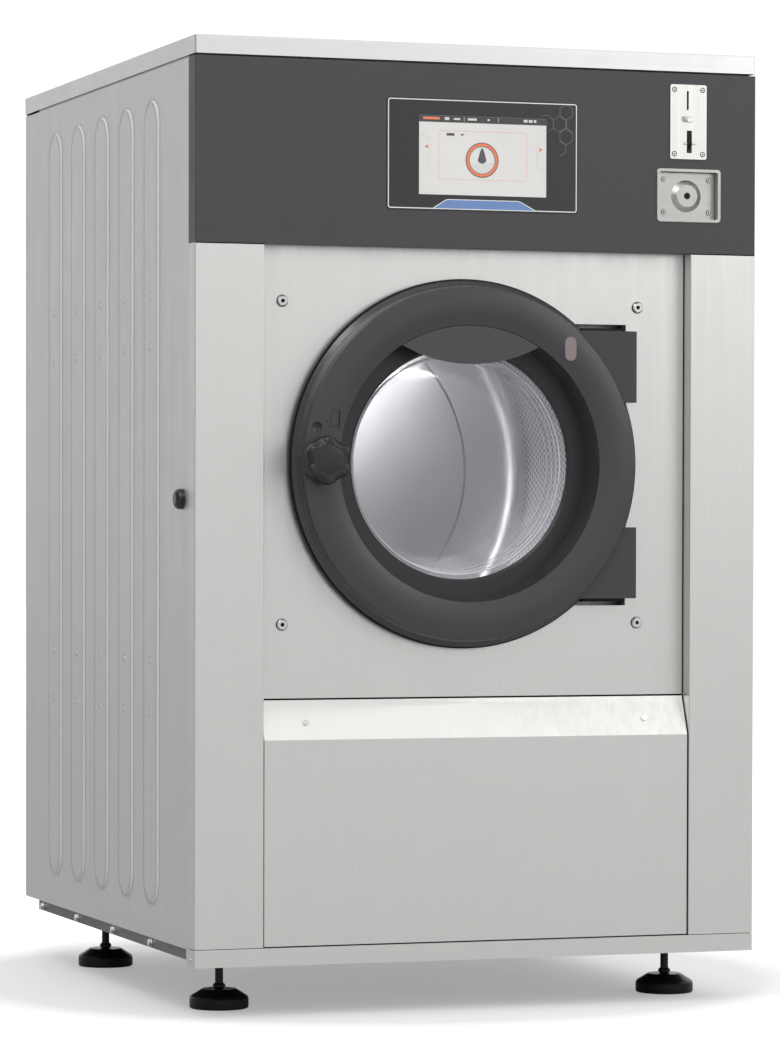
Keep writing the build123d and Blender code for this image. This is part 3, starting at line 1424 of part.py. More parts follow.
with BuildPart() as drum_shell:
    inner_radius = drum_radius - drum_sheet
    disc_front = drum_back - drum_disc_sink
    disc_edge = drum_disc_radius + drum_disc_sink
    bend_shift = drum_sheet * math.tan(math.radians(rib_slope_angle / 2))
    with BuildSketch(door_section_plane) as drum_section:
        with BuildLine():
            Polyline((drum_mouth_radius, drum_front), (drum_radius, drum_front), (drum_radius, drum_back),
                     (disc_edge, drum_back), (drum_disc_radius, disc_front), (0, disc_front),
                     (0, disc_front - drum_sheet), (drum_disc_radius + bend_shift, disc_front - drum_sheet),
                     (disc_edge + bend_shift, drum_back - drum_sheet), (inner_radius, drum_back - drum_sheet),
                     (inner_radius, drum_front + drum_sheet), (drum_mouth_radius, drum_front + drum_sheet),
                     close=True)
        make_face()
        for y in (drum_front, drum_back):
            fillet(drum_section.vertices().sort_by_distance((drum_radius, y))[0], radius=drum_corner)
        for y in (drum_front + drum_sheet, drum_back - drum_sheet):
            fillet(drum_section.vertices().sort_by_distance((inner_radius, y))[0],
                   radius=drum_corner - drum_sheet)
    revolve(drum_section.sketch, axis=door_axis)
    for seam in (drum_front + drum_corner, drum_back - drum_corner - fit_gap):
        turn_along_y(axis_x, axis_z, (
            (inner_radius - overrun, seam), (drum_radius + overrun, seam),
            (drum_radius + overrun, seam + fit_gap), (inner_radius - overrun, seam + fit_gap)),
            mode=Mode.SUBTRACT)
    for number in range(lifter_count):
        turn = lifter_start_angle + number * 360 / lifter_count
        with BuildSketch(facing_turned(axis_x, front_y + drum_front + drum_corner, axis_z, turn)) as sheet_seam:
            with Locations((0, inner_radius)):
                Rectangle(fit_gap, 2 * (drum_sheet + overrun))
        extrude(sheet_seam.sketch, amount=2 * drum_corner - drum_depth, mode=Mode.SUBTRACT)
    lip_radius = drum_mouth_radius + drum_lip_radius
    with BuildSketch(door_section_plane) as lip_section:
        with Locations((lip_radius, drum_front + drum_lip_radius)):
            Circle(drum_lip_radius)
    revolve(lip_section.sketch, axis=door_axis)
    for number in range(lifter_count):
        turn = lifter_start_angle + number * 360 / lifter_count
        for inset, cut in ((0, Mode.ADD), (lifter_wall, Mode.SUBTRACT)):
            lifter_start = front_y + drum_front + lifter_inset + inset
            foot = inner_radius - fit_gap - 2 * inset
            half_base = lifter_base - inset
            heel = math.sqrt(foot ** 2 - half_base ** 2)
            crest = inner_radius - lifter_height + inset
            with BuildSketch(facing_turned(axis_x, lifter_start, axis_z, turn)) as lifter:
                with BuildLine():
                    ThreePointArc((half_base, heel), (0, foot), (-half_base, heel))
                    Polyline((-half_base, heel), (inset - lifter_tip, crest), (lifter_tip - inset, crest),
                             (half_base, heel))
                make_face()
            extrude(lifter.sketch, amount=2 * (lifter_inset + inset) - drum_depth, mode=cut)
drum_shell.part.label = "drum_shell"

with BuildPart() as drum_spider:
    spider_front = drum_back + fit_gap
    spider_back = spider_front + spider_arm_depth
    bar_along_y(axis_x, axis_z, front_y + spider_front, front_y + spider_back + spider_gap, spider_hub_radius)
    for number in range(lifter_count):
        turn = lifter_start_angle + number * 360 / lifter_count
        with BuildSketch(facing_turned(axis_x, front_y + spider_front, axis_z, turn)) as arm:
            with Locations((0, spider_arm_reach / 2)):
                Rectangle(spider_arm_width, spider_arm_reach)
            with Locations((0, spider_arm_reach)):
                Circle(spider_arm_width / 2)
        extrude(arm.sketch, amount=-spider_arm_depth)
    bar_along_y(axis_x, axis_z, front_y + spider_front, front_y + drive_shaft_end, drive_shaft_radius)
drum_spider.part.label = "drum_spider"

with BuildPart() as drum_pulley:
    groove_radius = drum_pulley_radius - pulley_groove
    pulley_back = pulley_front + pulley_width
    rim_radius = groove_radius - pulley_groove
    web_front = pulley_front + (pulley_width - pulley_web) / 2
    web_back = web_front + pulley_web
    bore = drive_shaft_radius + running_clearance / 2
    hub = drive_shaft_radius + pulley_bore_wall
    turn_along_y(axis_x, axis_z, (
        (bore, pulley_front), (hub, pulley_front), (hub, web_front), (rim_radius, web_front),
        (rim_radius, pulley_front), (drum_pulley_radius, pulley_front),
        (drum_pulley_radius, pulley_front + pulley_rim), (groove_radius, pulley_front + pulley_rim),
        (groove_radius, pulley_back - pulley_rim), (drum_pulley_radius, pulley_back - pulley_rim),
        (drum_pulley_radius, pulley_back), (rim_radius, pulley_back), (rim_radius, web_back),
        (hub, web_back), (hub, pulley_back), (bore, pulley_back)))
    with Locations(Location((axis_x, front_y + web_front, axis_z), (-90, 0, 0))):
        with PolarLocations(pulley_window_orbit, pulley_windows):
            Cylinder(pulley_window_radius, pulley_web, align=(Align.CENTER, Align.CENTER, Align.MIN),
                     mode=Mode.SUBTRACT)
drum_pulley.part.label = "drum_pulley"

with BuildPart() as motor_housing:
    bar_along_y(axis_x, motor_z, front_y + motor_front, front_y + motor_back, motor_radius - motor_fin)
    bar_along_y(axis_x, motor_z, front_y + motor_front - motor_cap, front_y + motor_front, motor_cap_radius)
    fin_start = front_y + motor_front + motor_cap
    fin_length = motor_back - motor_front - 2 * motor_cap
    with Locations(Location((axis_x, fin_start, motor_z), (-90, 0, 0))):
        with PolarLocations(motor_radius - motor_fin, motor_fins):
            Box(2 * motor_fin, motor_fin_width, fin_length, align=(Align.CENTER, Align.CENTER, Align.MIN))
    for x_side in (-1, 1):
        for start in (fin_start, fin_start + fin_length - motor_foot_width):
            near = axis_x + x_side * (motor_plate_half_width - motor_foot_width)
            far = axis_x + x_side * (motor_plate_half_width - motor_web)
            block((min(near, far), start, motor_z), (max(near, far), start + motor_foot_width,
                                                    saddle_bottom - motor_plate))
    bar_along_y(axis_x, motor_z, front_y + motor_back - motor_cap, front_y + motor_back + overrun,
                motor_shaft_radius + motor_shaft_bore_play, mode=Mode.SUBTRACT)
motor_housing.part.label = "motor_housing"

with BuildPart() as motor_pulley:
    small_groove = motor_pulley_radius - pulley_groove
    shaft_start = motor_back - motor_cap + fit_gap
    turn_along_y(axis_x, motor_z, (
        (0, shaft_start), (motor_shaft_radius, shaft_start), (motor_shaft_radius, pulley_front),
        (motor_pulley_radius, pulley_front), (motor_pulley_radius, pulley_front + pulley_rim),
        (small_groove, pulley_front + pulley_rim), (small_groove, pulley_back - pulley_rim),
        (motor_pulley_radius, pulley_back - pulley_rim), (motor_pulley_radius, pulley_back), (0, pulley_back)))
motor_pulley.part.label = "motor_pulley"

with BuildPart() as drive_belt:
    belt_front = front_y + pulley_front + pulley_rim + fit_gap
    belt_width = pulley_width - 2 * (pulley_rim + fit_gap)
    for thickness, cut in ((belt_thickness, Mode.ADD), (0, Mode.SUBTRACT)):
        with BuildSketch(facing(axis_x, belt_front, 0)) as loop:
            with Locations((0, axis_z)):
                Circle(groove_radius + fit_gap + thickness)
            with Locations((0, motor_z)):
                Circle(small_groove + fit_gap + thickness)
            make_hull()
        extrude(loop.sketch, amount=-belt_width, mode=cut)
drive_belt.part.label = "drive_belt"

# Drain, water inlets and power

with BuildPart() as drain_valve:
    valve_x = middle_x + drain_x
    valve_y = front_y + drain_y
    bar_along_z(valve_x, valve_y, drain_valve_bottom, axis_z - tub_radius / 2, drain_pipe_radius)
    block((valve_x - drain_valve_width / 2, valve_y - drain_valve_depth / 2, drain_valve_bottom),
          (valve_x + drain_valve_width / 2, valve_y + drain_valve_depth / 2, drain_valve_top))
    bar_along_z(valve_x, valve_y, collector_top - tub_travel * 3, drain_valve_bottom,
                drain_pipe_radius - drain_pipe_wall)
    bar_along_z(valve_x, valve_y, collector_top - tub_travel * 4, axis_z,
                drain_pipe_radius - 2 * drain_pipe_wall, mode=Mode.SUBTRACT)
    bar_along_y(axis_x, axis_z, front_y, rear_y, tub_radius + fit_gap, mode=Mode.SUBTRACT)
drain_valve.part.label = "drain_valve"

with BuildPart() as drain_collector:
    collector_foot = frame_top + fit_gap
    block((valve_x - collector_half_width, front_y + collector_front, collector_foot),
          (valve_x + collector_half_width, front_y + collector_back, collector_top))
    bar_along_y(valve_x, drain_outlet_z, front_y + collector_back - collector_wall,
                rear_y + drain_outlet_reach, drain_pipe_radius)
    bar_along_y(valve_x, drain_outlet_z, rear_y + drain_bead_start, rear_y + drain_bead_start + drain_bead,
                drain_bead_radius)
    for place in (motor_bearer_y, rear_foot_y):
        block((valve_x - drain_pipe_radius / 2, front_y + place - drain_pipe_radius / 2, collector_foot),
              (valve_x + drain_pipe_radius / 2, front_y + place + drain_pipe_radius / 2, drain_outlet_z))
    block((valve_x - drain_pipe_radius / 2, front_y + front_bearer_y, collector_foot),
          (valve_x + drain_pipe_radius / 2, front_y + collector_front, collector_foot + collector_wall))
    block((valve_x - collector_half_width + collector_wall, front_y + collector_front + collector_wall,
           collector_foot + collector_wall),
          (valve_x + collector_half_width - collector_wall, front_y + collector_back - collector_wall,
           collector_top + overrun), mode=Mode.SUBTRACT)
    bar_along_y(valve_x, drain_outlet_z, front_y + collector_back - 2 * overrun,
                rear_y + drain_outlet_reach + overrun, drain_pipe_radius - drain_pipe_wall, mode=Mode.SUBTRACT)
drain_collector.part.label = "drain_collector"

with BuildPart() as inlet_valves:
    valve_back = rear_y - rear_sheet - inlet_flange - fit_gap
    valve_front = valve_back - inlet_body_depth
    manifold_y = valve_front - manifold_half
    for x in inlet_places:
        block((x - inlet_body_width / 2, valve_front, inlet_z - inlet_body_height / 2),
              (x + inlet_body_width / 2, valve_back, inlet_z + inlet_body_height / 2))
        bar_along_y(x, inlet_z, valve_back, valve_back + inlet_flange, inlet_flange_radius)
        bar_along_y(x, inlet_z, valve_back, rear_y + inlet_reach, inlet_thread_radius)
    manifold_start = inlet_places[0] - inlet_body_width / 2
    manifold_end = inlet_places[-1] + inlet_body_width / 2
    block((manifold_start, valve_front - 2 * manifold_half, inlet_z - manifold_half),
          (manifold_end, valve_front, inlet_z + manifold_half))
    with BuildLine() as fill_path:
        FilletPolyline((manifold_end, manifold_y, inlet_z), (axis_x, manifold_y, inlet_z),
                       (axis_x, front_y + fill_cup_y, inlet_z), (axis_x, front_y + fill_cup_y, fill_nozzle_z),
                       radius=fill_pipe_bend)
    with BuildSketch(Plane(origin=(manifold_end, manifold_y, inlet_z), z_dir=(1, 0, 0))) as pipe_wall:
        Circle(fill_pipe_radius)
        Circle(fill_pipe_radius - fill_pipe_wall, mode=Mode.SUBTRACT)
    sweep(pipe_wall.sketch, path=fill_path.line)
    block((manifold_start + fill_pipe_wall, valve_front - 2 * manifold_half + fill_pipe_wall,
           inlet_z - manifold_half + fill_pipe_wall),
          (manifold_end - fill_pipe_wall, valve_front - fill_pipe_wall,
           inlet_z + manifold_half - fill_pipe_wall), mode=Mode.SUBTRACT)
    bar_along_x(manifold_y, inlet_z, manifold_end - 2 * fill_pipe_wall, manifold_end,
                fill_pipe_radius - fill_pipe_wall, mode=Mode.SUBTRACT)
    for x in inlet_places:
        bar_along_y(x, inlet_z, manifold_y, rear_y + inlet_reach + overrun, inlet_bore_radius,
                    mode=Mode.SUBTRACT)
inlet_valves.part.label = "inlet_valves"

with BuildPart() as inverter_box:
    box_right = middle_x + frame_side - inverter_side_gap
    box_left = box_right - inverter_width
    box_front_y = front_y + inverter_front
    box_back_y = box_front_y + inverter_depth
    box_foot = frame_top + inverter_foot
    box_top = box_foot + inverter_height
    block((box_left, box_front_y, box_foot), (box_right, box_back_y, box_top))
    fillet(inverter_box.edges().filter_by(Axis.Z), radius=bend)
    block((box_left + sheet, box_front_y + sheet, box_foot + sheet),
          (box_right - sheet, box_back_y - sheet, box_top - sheet), mode=Mode.SUBTRACT)
    block((middle_x + frame_side - channel_width, box_front_y, frame_top + fit_gap),
          (box_right, box_back_y, box_foot))
inverter_box.part.label = "inverter_box"

with BuildPart() as power_gland:
    gland_inner = rear_y - rear_sheet - fit_gap
    bar_along_y(power_x, gland_z, gland_inner - gland_nut, rear_y + gland_reach, gland_radius)
    extrude(hexagon(facing(power_x, gland_inner, gland_z), gland_nut_radius), amount=gland_nut)
    bar_along_y(power_x, gland_z, rear_y + fit_gap, rear_y + fit_gap + gland_nut, gland_nut_radius)
    bar_along_y(power_x, gland_z, gland_inner - gland_nut - overrun, rear_y + gland_reach + overrun,
                gland_bore, mode=Mode.SUBTRACT)
power_gland.part.label = "power_gland"

# Door

def arm_outline(y, side, growth):
    """The outline of one hinge arm seen from the front, grown on every side."""
    half_height = hinge_arm_half_height + growth
    left = middle_x + hinge_arm_root - growth
    right = pin_x + growth
    with BuildSketch(facing(axis_x, front_y + y, axis_z)) as outline:
        with Locations(((left + right) / 2 - axis_x, side * hinge_arm_centre)):
            Rectangle(right - left, 2 * half_height)
        Circle(hinge_arm_inner_radius - growth, mode=Mode.SUBTRACT)
    return outline.sketch


with BuildPart() as door_ring:
    ring_middle = (ring_inner_radius + ring_outer_radius) / 2
    ring_back = plate_front - fit_gap
    shell_back = ring_face + ring_wall
    with BuildSketch(door_section_plane) as ring_section:
        with BuildLine():
            ThreePointArc((ring_inner_radius, ring_face + ring_wall / 4),
                          (ring_middle, ring_face - ring_crown), (ring_outer_radius, ring_face))
            Polyline((ring_outer_radius, ring_face), (ring_outer_radius, ring_side_depth),
                     (ring_shoulder_radius, ring_shoulder_depth), (ring_band_radius, ring_band_depth),
                     (ring_band_radius, ring_back), (ring_band_radius - ring_wall, ring_back),
                     (ring_shoulder_radius - ring_wall, ring_shoulder_depth + ring_crown),
                     (ring_outer_radius - ring_wall, ring_side_depth),
                     (ring_outer_radius - ring_wall, shell_back),
                     (ring_inner_radius + ring_wall, shell_back),
                     (throat_radius + ring_wall, throat_depth), (throat_radius, throat_depth),
                     (ring_inner_radius, ring_face + ring_wall / 4))
        make_face()
        ring_corner = ring_section.vertices().sort_by_distance((ring_outer_radius, ring_face))[0]
        fillet(ring_corner, radius=ring_edge_round)
    revolve(ring_section.sketch, axis=door_axis)
    bar_along_y(knob_x, knob_z, front_y + shell_back - ring_wall / 4, front_y + ring_back, knob_boss_radius)
    bar_along_y(knob_x, knob_z, front_y + ring_face - overrun, front_y + ring_back + overrun,
                shaft_radius + running_clearance, mode=Mode.SUBTRACT)
    release_x = axis_x + button_x
    release_z = axis_z + button_z
    guide_end = front_y + shell_back + button_length
    bar_along_y(release_x, release_z, front_y + shell_back - ring_wall / 4, guide_end,
                button_radius + ring_wall)
    bar_along_y(release_x, release_z, front_y + ring_face - overrun, guide_end + overrun,
                button_radius + button_clearance, mode=Mode.SUBTRACT)
    lamp_front = ring_face - ring_crown - lamp_proud
    extrude(pill(axis_x + lamp_x, front_y + lamp_front - overrun, axis_z + lamp_z,
                 lamp_height + 2 * running_clearance, lamp_width + 2 * running_clearance, 90),
            amount=-(overrun + lamp_thickness + fit_gap), mode=Mode.SUBTRACT)
    for side in (-1, 1):
        extrude(arm_outline(hinge_depth - hinge_arm_radius - fit_gap, side, fit_gap),
                amount=-2 * (hinge_arm_radius + overrun), mode=Mode.SUBTRACT)
door_ring.part.label = "door_ring"

with BuildPart() as door_back_plate:
    turn_along_y(axis_x, axis_z, (
        (hub_inner_radius, plate_front), (flange_radius, plate_front), (flange_radius, plate_back),
        (hub_radius, plate_back), (hub_radius, hub_depth), (hub_lip_radius, hub_depth),
        (hub_lip_radius, hub_depth - hub_lip), (hub_inner_radius, hub_depth - hub_lip)))
    bar_along_y(knob_x, knob_z, front_y + plate_front - overrun, front_y + plate_back + overrun,
                shaft_radius + running_clearance, mode=Mode.SUBTRACT)
door_back_plate.part.label = "door_back_plate"

with BuildPart() as door_inner_ring:
    inner_front = throat_depth + fit_gap
    inner_back = inner_front + inner_ring_thickness
    turn_along_y(axis_x, axis_z, (
        (inner_ring_radius, inner_front + inner_ring_slope),
        (inner_ring_radius + inner_ring_slope, inner_front + inner_ring_slope / 3),
        (hub_inner_radius - fit_gap, inner_front), (hub_inner_radius - fit_gap, inner_back),
        (inner_ring_radius, inner_back)))
door_inner_ring.part.label = "door_inner_ring"

with BuildPart() as door_glass:
    glass_front = inner_back + fit_gap
    glass_back = hub_depth - hub_lip - fit_gap
    with BuildSketch(door_section_plane) as glass_section:
        with BuildLine():
            Polyline((glass_mouth_radius - glass_thickness, glass_front), (glass_rim_radius, glass_front),
                     (glass_rim_radius, glass_back), (glass_mouth_radius, glass_back),
                     (glass_end_radius, glass_end_depth), (0, glass_end_depth),
                     (0, glass_end_depth - glass_thickness),
                     (glass_end_radius - glass_thickness, glass_end_depth - glass_thickness), close=True)
        make_face()
        fillet(glass_section.vertices().sort_by_distance((glass_end_radius, glass_end_depth))[0],
               radius=glass_corner)
        fillet(glass_section.vertices().sort_by_distance(
            (glass_end_radius - glass_thickness, glass_end_depth - glass_thickness))[0],
            radius=glass_corner - glass_thickness)
    revolve(glass_section.sketch, axis=door_axis)
door_glass.part.label = "door_glass"

with BuildPart() as door_visor:
    visor_sag = visor_tip_height - visor_low_height
    visor_arc_radius = (visor_spread ** 2 + visor_sag ** 2) / (2 * visor_sag)
    visor_front = front_y + visor_depth
    with BuildSketch(facing(axis_x, visor_front, axis_z)) as visor:
        Circle(ring_inner_radius - 3 * fit_gap)
        with Locations((0, visor_low_height + visor_arc_radius)):
            Circle(visor_arc_radius, mode=Mode.INTERSECT)
    extrude(visor.sketch, amount=-visor_thickness)
door_visor.part.label = "door_visor"

with BuildPart() as door_lamp:
    extrude(pill(axis_x + lamp_x, front_y + lamp_front, axis_z + lamp_z, lamp_height, lamp_width, 90),
            amount=-lamp_thickness)
    fillet(door_lamp.faces().sort_by(Axis.Y)[0].edges(), radius=lamp_proud)
door_lamp.part.label = "door_lamp"

with BuildPart() as door_hinge_arms:
    arm_front = hinge_depth - hinge_arm_radius
    for side in (-1, 1):
        middle = axis_z + side * hinge_arm_centre
        low = middle - hinge_arm_half_height
        high = middle + hinge_arm_half_height
        pocket_low = middle - hinge_lug_half_height - fit_gap
        pocket_high = middle + hinge_lug_half_height + fit_gap
        extrude(arm_outline(arm_front, side, 0), amount=-2 * hinge_arm_radius)
        bar_along_z(pin_x, pin_y, low, high, hinge_arm_radius)
        bar_along_z(pin_x, pin_y, pocket_low, pocket_high, hinge_pocket_radius, mode=Mode.SUBTRACT)
        block((pin_x - hinge_pocket_width, pin_y - hinge_pocket_front, pocket_low),
              (pin_x, pin_y + hinge_arm_radius + overrun, pocket_high), mode=Mode.SUBTRACT)
        block((pin_x, pin_y - hinge_wrap, pocket_low),
              (pin_x + hinge_arm_radius + overrun, pin_y + hinge_arm_radius + overrun, pocket_high),
              mode=Mode.SUBTRACT)
        bar_along_z(pin_x, pin_y, low - overrun, high + overrun, hinge_pin_radius + running_clearance,
                    mode=Mode.SUBTRACT)
door_hinge_arms.part.label = "door_hinge_arms"

with BuildPart() as door_knob:
    with BuildSketch(facing(knob_x, front_y + knob_front, knob_z)) as knob_outline:
        Circle(knob_core_radius)
        with PolarLocations(knob_lobe_orbit, knob_lobes, start_angle=90):
            Circle(knob_lobe_radius)
        fillet(knob_outline.vertices(), radius=knob_lobe_radius / 3)
    extrude(knob_outline.sketch, amount=knob_front - knob_back)
    fillet(door_knob.faces().sort_by(Axis.Y)[0].edges(), radius=knob_edge_round)
    knob_seat = ring_face - ring_crown - knob_gap
    bar_along_y(knob_x, knob_z, front_y + knob_back, front_y + knob_seat, knob_neck_radius)
    bar_along_y(knob_x, knob_z, front_y + knob_back, front_y + cam_depth + cam_thickness, shaft_radius)
    block((knob_x - cam_half_width, front_y + cam_depth, knob_z - cam_reach),
          (knob_x + cam_half_width, front_y + cam_depth + cam_thickness, knob_z + cam_tail))
door_knob.part.label = "door_knob"

with BuildPart() as door_release_button:
    button_front = front_y + ring_face - ring_crown + button_sunk
    bar_along_y(release_x, release_z, button_front, button_front + button_length, button_radius)
    dish_radius = (button_radius ** 2 + button_dish ** 2) / (2 * button_dish)
    with Locations((release_x, button_front + button_dish - dish_radius, release_z)):
        Sphere(dish_radius, mode=Mode.SUBTRACT)
door_release_button.part.label = "door_release_button"


# One file for each piece

os.makedirs("parts", exist_ok=True)
export_step(base_frame.part, "parts/base_frame.step")
export_step(cabinet_posts.part, "parts/cabinet_posts.step")
export_step(base_front_rail.part, "parts/base_front_rail.step")
export_step(side_panel_left, "parts/side_panel_left.step")
export_step(side_panel_right, "parts/side_panel_right.step")
export_step(top_panel.part, "parts/top_panel.step")
export_step(rear_panel.part, "parts/rear_panel.step")
export_step(front_column_left, "parts/front_column_left.step")
export_step(front_column_right, "parts/front_column_right.step")
export_step(front_panel.part, "parts/front_panel.step")
export_step(lower_service_panel.part, "parts/lower_service_panel.step")
export_step(control_fascia.part, "parts/control_fascia.step")
export_step(display_bezel.part, "parts/display_bezel.step")
export_step(display_screen.part, "parts/display_screen.step")
export_step(control_board_box.part, "parts/control_board_box.step")
export_step(coin_plate.part, "parts/coin_plate.step")
export_step(coin_acceptor.part, "parts/coin_acceptor.step")
export_step(coin_release_slider.part, "parts/coin_release_slider.step")
export_step(coin_return_flap.part, "parts/coin_return_flap.step")
export_step(coin_box_tray.part, "parts/coin_box_tray.step")
export_step(coin_box.part, "parts/coin_box.step")
export_step(coin_lock_cylinder.part, "parts/coin_lock_cylinder.step")
export_step(service_cap.part, "parts/service_cap.step")
export_step(panel_bolts.part, "parts/panel_bolts.step")
export_step(rail_bolts.part, "parts/rail_bolts.step")
export_step(small_screws.part, "parts/small_screws.step")
export_step(foot_pads.part, "parts/foot_pads.step")
export_step(foot_stems.part, "parts/foot_stems.step")
export_step(tub_shell.part, "parts/tub_shell.step")
export_step(tub_front_plate.part, "parts/tub_front_plate.step")
export_step(tub_rear_plate.part, "parts/tub_rear_plate.step")
export_step(door_gasket.part, "parts/door_gasket.step")
export_step(hinge_brackets.part, "parts/hinge_brackets.step")
export_step(hinge_pins.part, "parts/hinge_pins.step")
export_step(door_lock_box.part, "parts/door_lock_box.step")
export_step(suspension_springs.part, "parts/suspension_springs.step")
export_step(damper_bodies.part, "parts/damper_bodies.step")
export_step(damper_rods.part, "parts/damper_rods.step")
export_step(bearing_housing.part, "parts/bearing_housing.step")
export_step(bearings_and_seal.part, "parts/bearings_and_seal.step")
export_step(drum_shell.part, "parts/drum_shell.step")
export_step(drum_spider.part, "parts/drum_spider.step")
export_step(drum_pulley.part, "parts/drum_pulley.step")
export_step(motor_housing.part, "parts/motor_housing.step")
export_step(motor_pulley.part, "parts/motor_pulley.step")
export_step(drive_belt.part, "parts/drive_belt.step")
export_step(drain_valve.part, "parts/drain_valve.step")
export_step(drain_collector.part, "parts/drain_collector.step")
export_step(inlet_valves.part, "parts/inlet_valves.step")
export_step(inverter_box.part, "parts/inverter_box.step")
export_step(power_gland.part, "parts/power_gland.step")
export_step(door_ring.part, "parts/door_ring.step")
export_step(door_back_plate.part, "parts/door_back_plate.step")
export_step(door_inner_ring.part, "parts/door_inner_ring.step")
export_step(door_glass.part, "parts/door_glass.step")
export_step(door_visor.part, "parts/door_visor.step")
export_step(door_lamp.part, "parts/door_lamp.step")
export_step(door_hinge_arms.part, "parts/door_hinge_arms.step")
export_step(door_knob.part, "parts/door_knob.step")
export_step(door_release_button.part, "parts/door_release_button.step")
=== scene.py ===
import math

import bmesh
import bpy
from mathutils import Matrix, Vector


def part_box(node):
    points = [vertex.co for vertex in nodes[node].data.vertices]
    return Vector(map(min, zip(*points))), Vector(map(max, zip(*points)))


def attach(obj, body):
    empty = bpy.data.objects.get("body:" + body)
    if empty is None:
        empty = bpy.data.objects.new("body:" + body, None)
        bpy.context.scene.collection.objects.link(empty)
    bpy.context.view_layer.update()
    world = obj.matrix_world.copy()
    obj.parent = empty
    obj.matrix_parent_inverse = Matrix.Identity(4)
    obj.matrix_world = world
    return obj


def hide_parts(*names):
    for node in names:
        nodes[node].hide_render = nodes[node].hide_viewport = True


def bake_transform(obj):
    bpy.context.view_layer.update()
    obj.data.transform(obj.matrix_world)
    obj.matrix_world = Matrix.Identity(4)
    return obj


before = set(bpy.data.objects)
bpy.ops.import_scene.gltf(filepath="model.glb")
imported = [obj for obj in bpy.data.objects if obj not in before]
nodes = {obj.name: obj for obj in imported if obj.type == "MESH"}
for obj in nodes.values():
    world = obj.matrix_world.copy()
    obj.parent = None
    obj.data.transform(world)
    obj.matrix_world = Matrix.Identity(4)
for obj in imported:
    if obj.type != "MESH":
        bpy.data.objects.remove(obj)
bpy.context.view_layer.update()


def centre_of(node):
    """The middle of a CAD node's box."""
    low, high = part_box(node)
    return (low + high) / 2


# Places from the CAD model, in metres. y grows to the rear, so a front is the lowest y of its node.
MIDDLE_X = centre_of("control_fascia").x
FRONT_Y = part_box("control_fascia")[0].y
PANEL_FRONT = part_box("front_panel")[0].y
BEZEL_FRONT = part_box("display_bezel")[0].y
SCREEN_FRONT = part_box("display_screen")[0].y
drum_low, drum_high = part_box("drum_shell")
DRUM_RADIUS = (drum_high.x - drum_low.x) / 2
DOOR_X = (drum_low.x + drum_high.x) / 2
DOOR_Z = (drum_low.z + drum_high.z) / 2


# Materials

class Shading:
    """Short ways to add and join the nodes of a shader."""

    def __init__(self, tree):
        self.tree = tree

    def node(self, kind, **values):
        made = self.tree.nodes.new(kind)
        for key, value in values.items():
            setattr(made, key, value)
        return made

    def link(self, start, end):
        self.tree.links.new(start, end)

    def math(self, operation, *values):
        made = self.node("ShaderNodeMath", operation=operation)
        for socket, value in zip(made.inputs, values):
            if isinstance(value, (int, float)):
                socket.default_value = value
            else:
                self.link(value, socket)
        return made.outputs[0]

    def distance(self, across, up):
        """How far a step to the side and a step upwards lead together."""
        return self.math("SQRT", self.math("ADD", self.math("MULTIPLY", across, across),
                                           self.math("MULTIPLY", up, up)))

    def spread(self, value, low, high, start=0.3, end=0.7, smooth=False):
        """Turns start to end into low to high, and holds a value outside them at the nearer one."""
        made = self.node("ShaderNodeMapRange", clamp=True,
                         interpolation_type="SMOOTHSTEP" if smooth else "LINEAR")
        self.link(value, made.inputs["Value"])
        for name, number in (("From Min", start), ("From Max", end), ("To Min", low), ("To Max", high)):
            made.inputs[name].default_value = number
        return made.outputs["Result"]

    def mix(self, factor, first, second):
        """A colour between first, where factor is 0, and second, where it is 1."""
        made = self.node("ShaderNodeMix", data_type="RGBA")
        for socket, value in ((made.inputs[0], factor), (made.inputs[6], first), (made.inputs[7], second)):
            if isinstance(value, tuple):
                socket.default_value = (*value, 1.0)
            else:
                self.link(value, socket)
        return made.outputs[2]

    def split(self, vector):
        made = self.node("ShaderNodeSeparateXYZ")
        self.link(vector, made.inputs[0])
        return made.outputs


